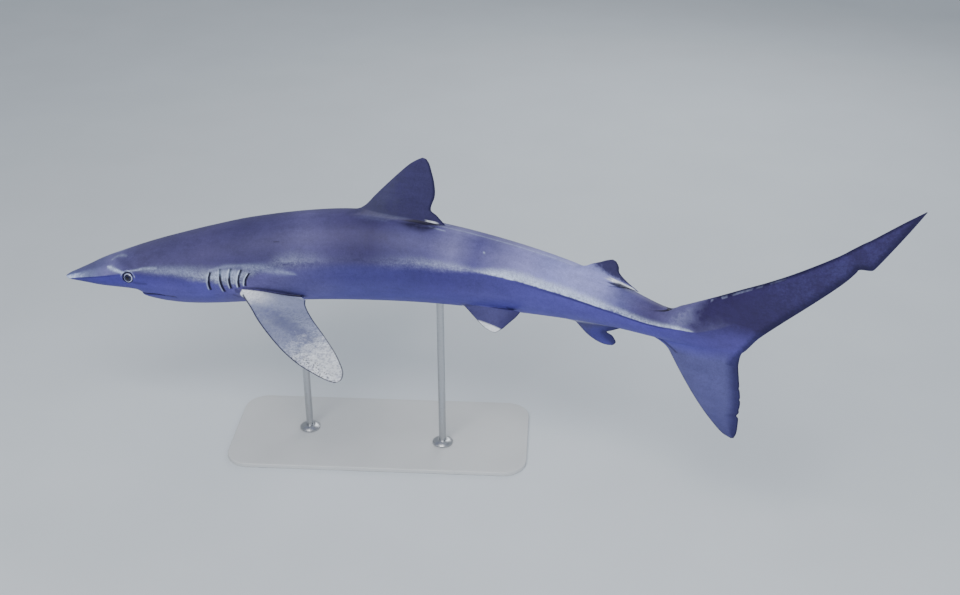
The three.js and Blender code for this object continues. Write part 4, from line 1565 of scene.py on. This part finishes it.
def paintPelvicFins(s, tone):
    span, chord, patch, join = s.span, s.chord, s.patch, s.marks["pelvic"]
    fin = s.over(s.colour["pelvic"], "analDark", (chord + patch * 0.5).between(0.55, 0.95) * 0.5)
    # painted sunlight on the outer part of the pelvic fin
    fin = s.over(fin, "finWhiteAndSunlit", (span - chord * 0.25 + patch * 0.1).between(0.46, 0.56))
    fin = s.over(fin, "finRim", s.rim.between(0.0035, 0.001) * 0.85)
    fin = s.over(fin, "belly", s.below * s.rim.between(0.001, 0.004))
    tone = s.mix(tone, fin, join)
    # painted shade in the crease between the fin's rear root and the body
    crease = join.between(0.1, 0.3) * join.between(0.9, 0.6) * chord.between(0.5, 0.7)
    return s.over(tone, "inkAndShade", crease * s.marks["face"].between(0, 0.4) * 0.7)


# Marks at the openings, and the strokes. The dark in the gill slits, the mouth and the crease behind its
# corners, the nostrils and the tail pits is painted shade in those recesses.
def paintOpenings(s, tone):
    marks, mottle = s.marks, s.mottle
    slit, slitHere = marks["slit"], marks["slitHere"]
    # painted highlights on the flaps in front of the gill slits
    edge = slit.between(-5.5, -1.6) * slit.between(0.3, -0.3) * slitHere.between(0.2, 0.7)
    tone = s.over(tone, "silver", edge * (0.4 + s.station.between(20.4, 21) * 0.4))
    gap = slit.between(-0.8, 0.2) * slit.between(7.5, 3.5) * slitHere.between(0.15, 0.5)
    tone = s.over(tone, "inkAndShade", gap * 0.92)
    tone = s.over(tone, "inkAndShade", marks["mouth"].between(4.2, 1.2) * 0.85)
    tone = s.over(tone, "inkAndShade", marks["nostril"].between(3.2, 0.8) * 0.9)
    tone = s.over(tone, "inkAndShade", marks["pit"].between(0.12, 0.5) * 0.92)
    # pale strokes: pale marks, with painted caustic light by the eye and a painted highlight on the back's
    # ridge
    tone = s.over(tone, "pale", marks["pale"] * (1 + mottle * 1.3 + s.streak + s.grain))
    # dark strokes: dark marks, with painted shadow under the first dorsal fin and painted shade in the
    # pectoral root creases
    offFins = marks["pectoral"].between(0.4, 0.2) * marks["dorsal"].between(0.5, 0.3)
    return s.over(tone, "inkAndShade", marks["dark"] * (0.66 + mottle * 0.8) * offFins)


# A dark rim round the eye's opening, with a dark brow that is painted shadow of the upper lid, and a pale
# line above that is a painted highlight.
def paintLids(s, tone):
    away, up = s.marks["eye"], s.marks["eyeUp"]
    pale = away.between(20.5, 18.4) * away.between(16.4, 17.6) * up.between(-4, 8)
    tone = s.over(tone, "pale", pale * (0.34 + s.mottle * 1.5))
    dark = away.between(17.2, 15.4) * up.between(1, 8)
    return s.over(tone, "inkAndShade", dark.larger(away.between(15.2, 13.8) * 0.95) * 0.92)


def paintSkin():
    s = SkinShade()
    tone = paintTrunk(s)
    for layer in (
        paintBand, paintTail, paintDorsalFins, paintLowerFins, paintPectoralFins, paintPelvicFins,
        paintOpenings, paintLids,
    ):
        tone = layer(s, tone)
    # clouds, fine streaks and grain over everything
    shade = 1 + s.cloud * 0.3 + s.patch * 0.3 + s.mottle * 0.45 + s.streak * 0.45 + s.grain * 0.5
    tone = s.node("ShaderNodeVectorMath", {"operation": "SCALE"}, {0: tone, "Scale": shade})
    return s.finish(
        {
            "Base Color": tone,
            "Roughness": 0.52 + s.patch * 0.14 + s.marks["belly"].between(-10, 10) * 0.08,
            "Specular IOR Level": 0.28,
        },
        [(s.cloud + s.patch * 0.4, 0.0022, 0.25), (s.grain, 0.0006, 0.3)],
    )


skinObject.data.materials.append(paintSkin())


eyePaint = {
    "pupil": (3, 3, 10),
    "navy": (14, 14, 44),
    "slate": (26, 28, 70),
    "silver": (176, 184, 222),
    "rim": (18, 18, 44),
}


def paintEye():
    s = Shade("shark_eye_paint")
    colour = {name: screen(*value) for name, value in eyePaint.items()}
    place = s.node("ShaderNodeAttribute", {"attribute_name": "place"}, output="Vector")
    split = s.node("ShaderNodeSeparateXYZ", None, {0: place})
    across = split * 1000
    tall = Signal(s, split.socket.node.outputs[1]) * 1000
    away = (across**2 + tall**2) ** 0.5
    spokes = s.noise(place, 900, 3, 0.6) - 0.5
    spread = away + spokes * 2
    iris = s.mix(colour["navy"], colour["slate"], spread.between(3.6, 5.5) * spread.between(8.4, 6.4) * 0.6)
    iris = s.mix(iris, colour["pupil"], away.between(3.5, 2.8))
    iris = s.mix(iris, colour["silver"], (away + spokes * 0.7).between(8.8, 9.6))
    iris = s.mix(iris, colour["rim"], away.between(10.9, 11.7))
    return s.finish({
        "Base Color": iris, "Roughness": 0.2, "Specular IOR Level": 0.3,
        "Coat Weight": 0.5, "Coat Roughness": 0.03,
    })


eyeMaterial = paintEye()
for ball in eyes:
    ball.data.materials.append(eyeMaterial)


def paintStand():
    s = Shade("stand_grey_paint")
    place = s.node("ShaderNodeTexCoord", output="Object")
    fine = s.noise(place, 900, 3) - 0.5
    broad = s.noise(place, 5, 2) - 0.5
    grey = s.mix(screen(196, 198, 200), screen(208, 210, 211), (fine + broad).between(-0.5, 0.5))
    return s.finish(
        {"Base Color": grey, "Roughness": 0.5 + fine * 0.12 + broad * 0.06}, [(fine, 0.0004, 0.25)]
    )


def paintSteel():
    s = Shade("stand_brushed_steel")
    place = s.node("ShaderNodeTexCoord", output="Object")
    brushed = s.noise(place, 60, 3, 0.6, (1, 1, 30)) - 0.5
    return s.finish(
        {
            "Base Color": s.mix(screen(176, 178, 182), screen(200, 202, 205), brushed.between(-0.4, 0.4)),
            "Metallic": 1.0,
            "Roughness": 0.3 + brushed * 0.16,
        },
        [(brushed, 0.0002, 0.3)],
    )


plate.data.materials.append(paintStand())
steel = paintSteel()
for rod in rods:
    rod.data.materials.append(steel)
print("materials made")

# Floor and light

studio = {
    "floorReach": 20,
    "floor": (214, 220, 226),
    "world": (0.80, 0.86, 0.94),
    "worldStrength": 0.5,
    "lights": {
        # place, size, energy, colour
        "key": ((-0.4, -2.8, 3.4), 2.4, 125, (1.0, 0.99, 0.97)),
        "fill": ((2.2, -3.0, 1.2), 2.5, 30, (0.9, 0.95, 1.0)),
        "rim": ((1.2, 2.8, 2.4), 2.0, 36, (0.95, 0.98, 1.0)),
    },
    "target": (0.1, -0.1, 0.45),
}


def makeStudio():
    mesh = bpy.data.meshes.new("floor")
    r = studio["floorReach"]
    mesh.from_pydata([(-r, -r, 0), (r, -r, 0), (r, r, 0), (-r, r, 0)], [], [(0, 1, 2, 3)])
    floor = linked(mesh)
    s = Shade("floor_paint")
    place = s.node("ShaderNodeTexCoord", output="Object")
    fine = s.noise(place, 3, 3) - 0.5
    tone = s.mix(screen(*studio["floor"]), screen(*[v + 4 for v in studio["floor"]]), fine.between(-0.3, 0.3))
    mesh.materials.append(s.finish({"Base Color": tone, "Roughness": 0.8}))
    world = bpy.data.worlds.new("studio")
    bpy.context.scene.world = world
    world.use_nodes = True
    background = world.node_tree.nodes["Background"]
    background.inputs["Color"].default_value = (*studio["world"], 1)
    background.inputs["Strength"].default_value = studio["worldStrength"]
    for name, (place, size, energy, colour) in studio["lights"].items():
        lamp = bpy.data.lights.new(name, "AREA")
        lamp.size, lamp.energy, lamp.color = size, energy, colour
        holder = linked(lamp)
        holder.location = place
        holder.rotation_mode = "QUATERNION"
        holder.rotation_quaternion = (Vector(studio["target"]) - Vector(place)).to_track_quat("-Z", "Y")


makeStudio()
print("studio made")
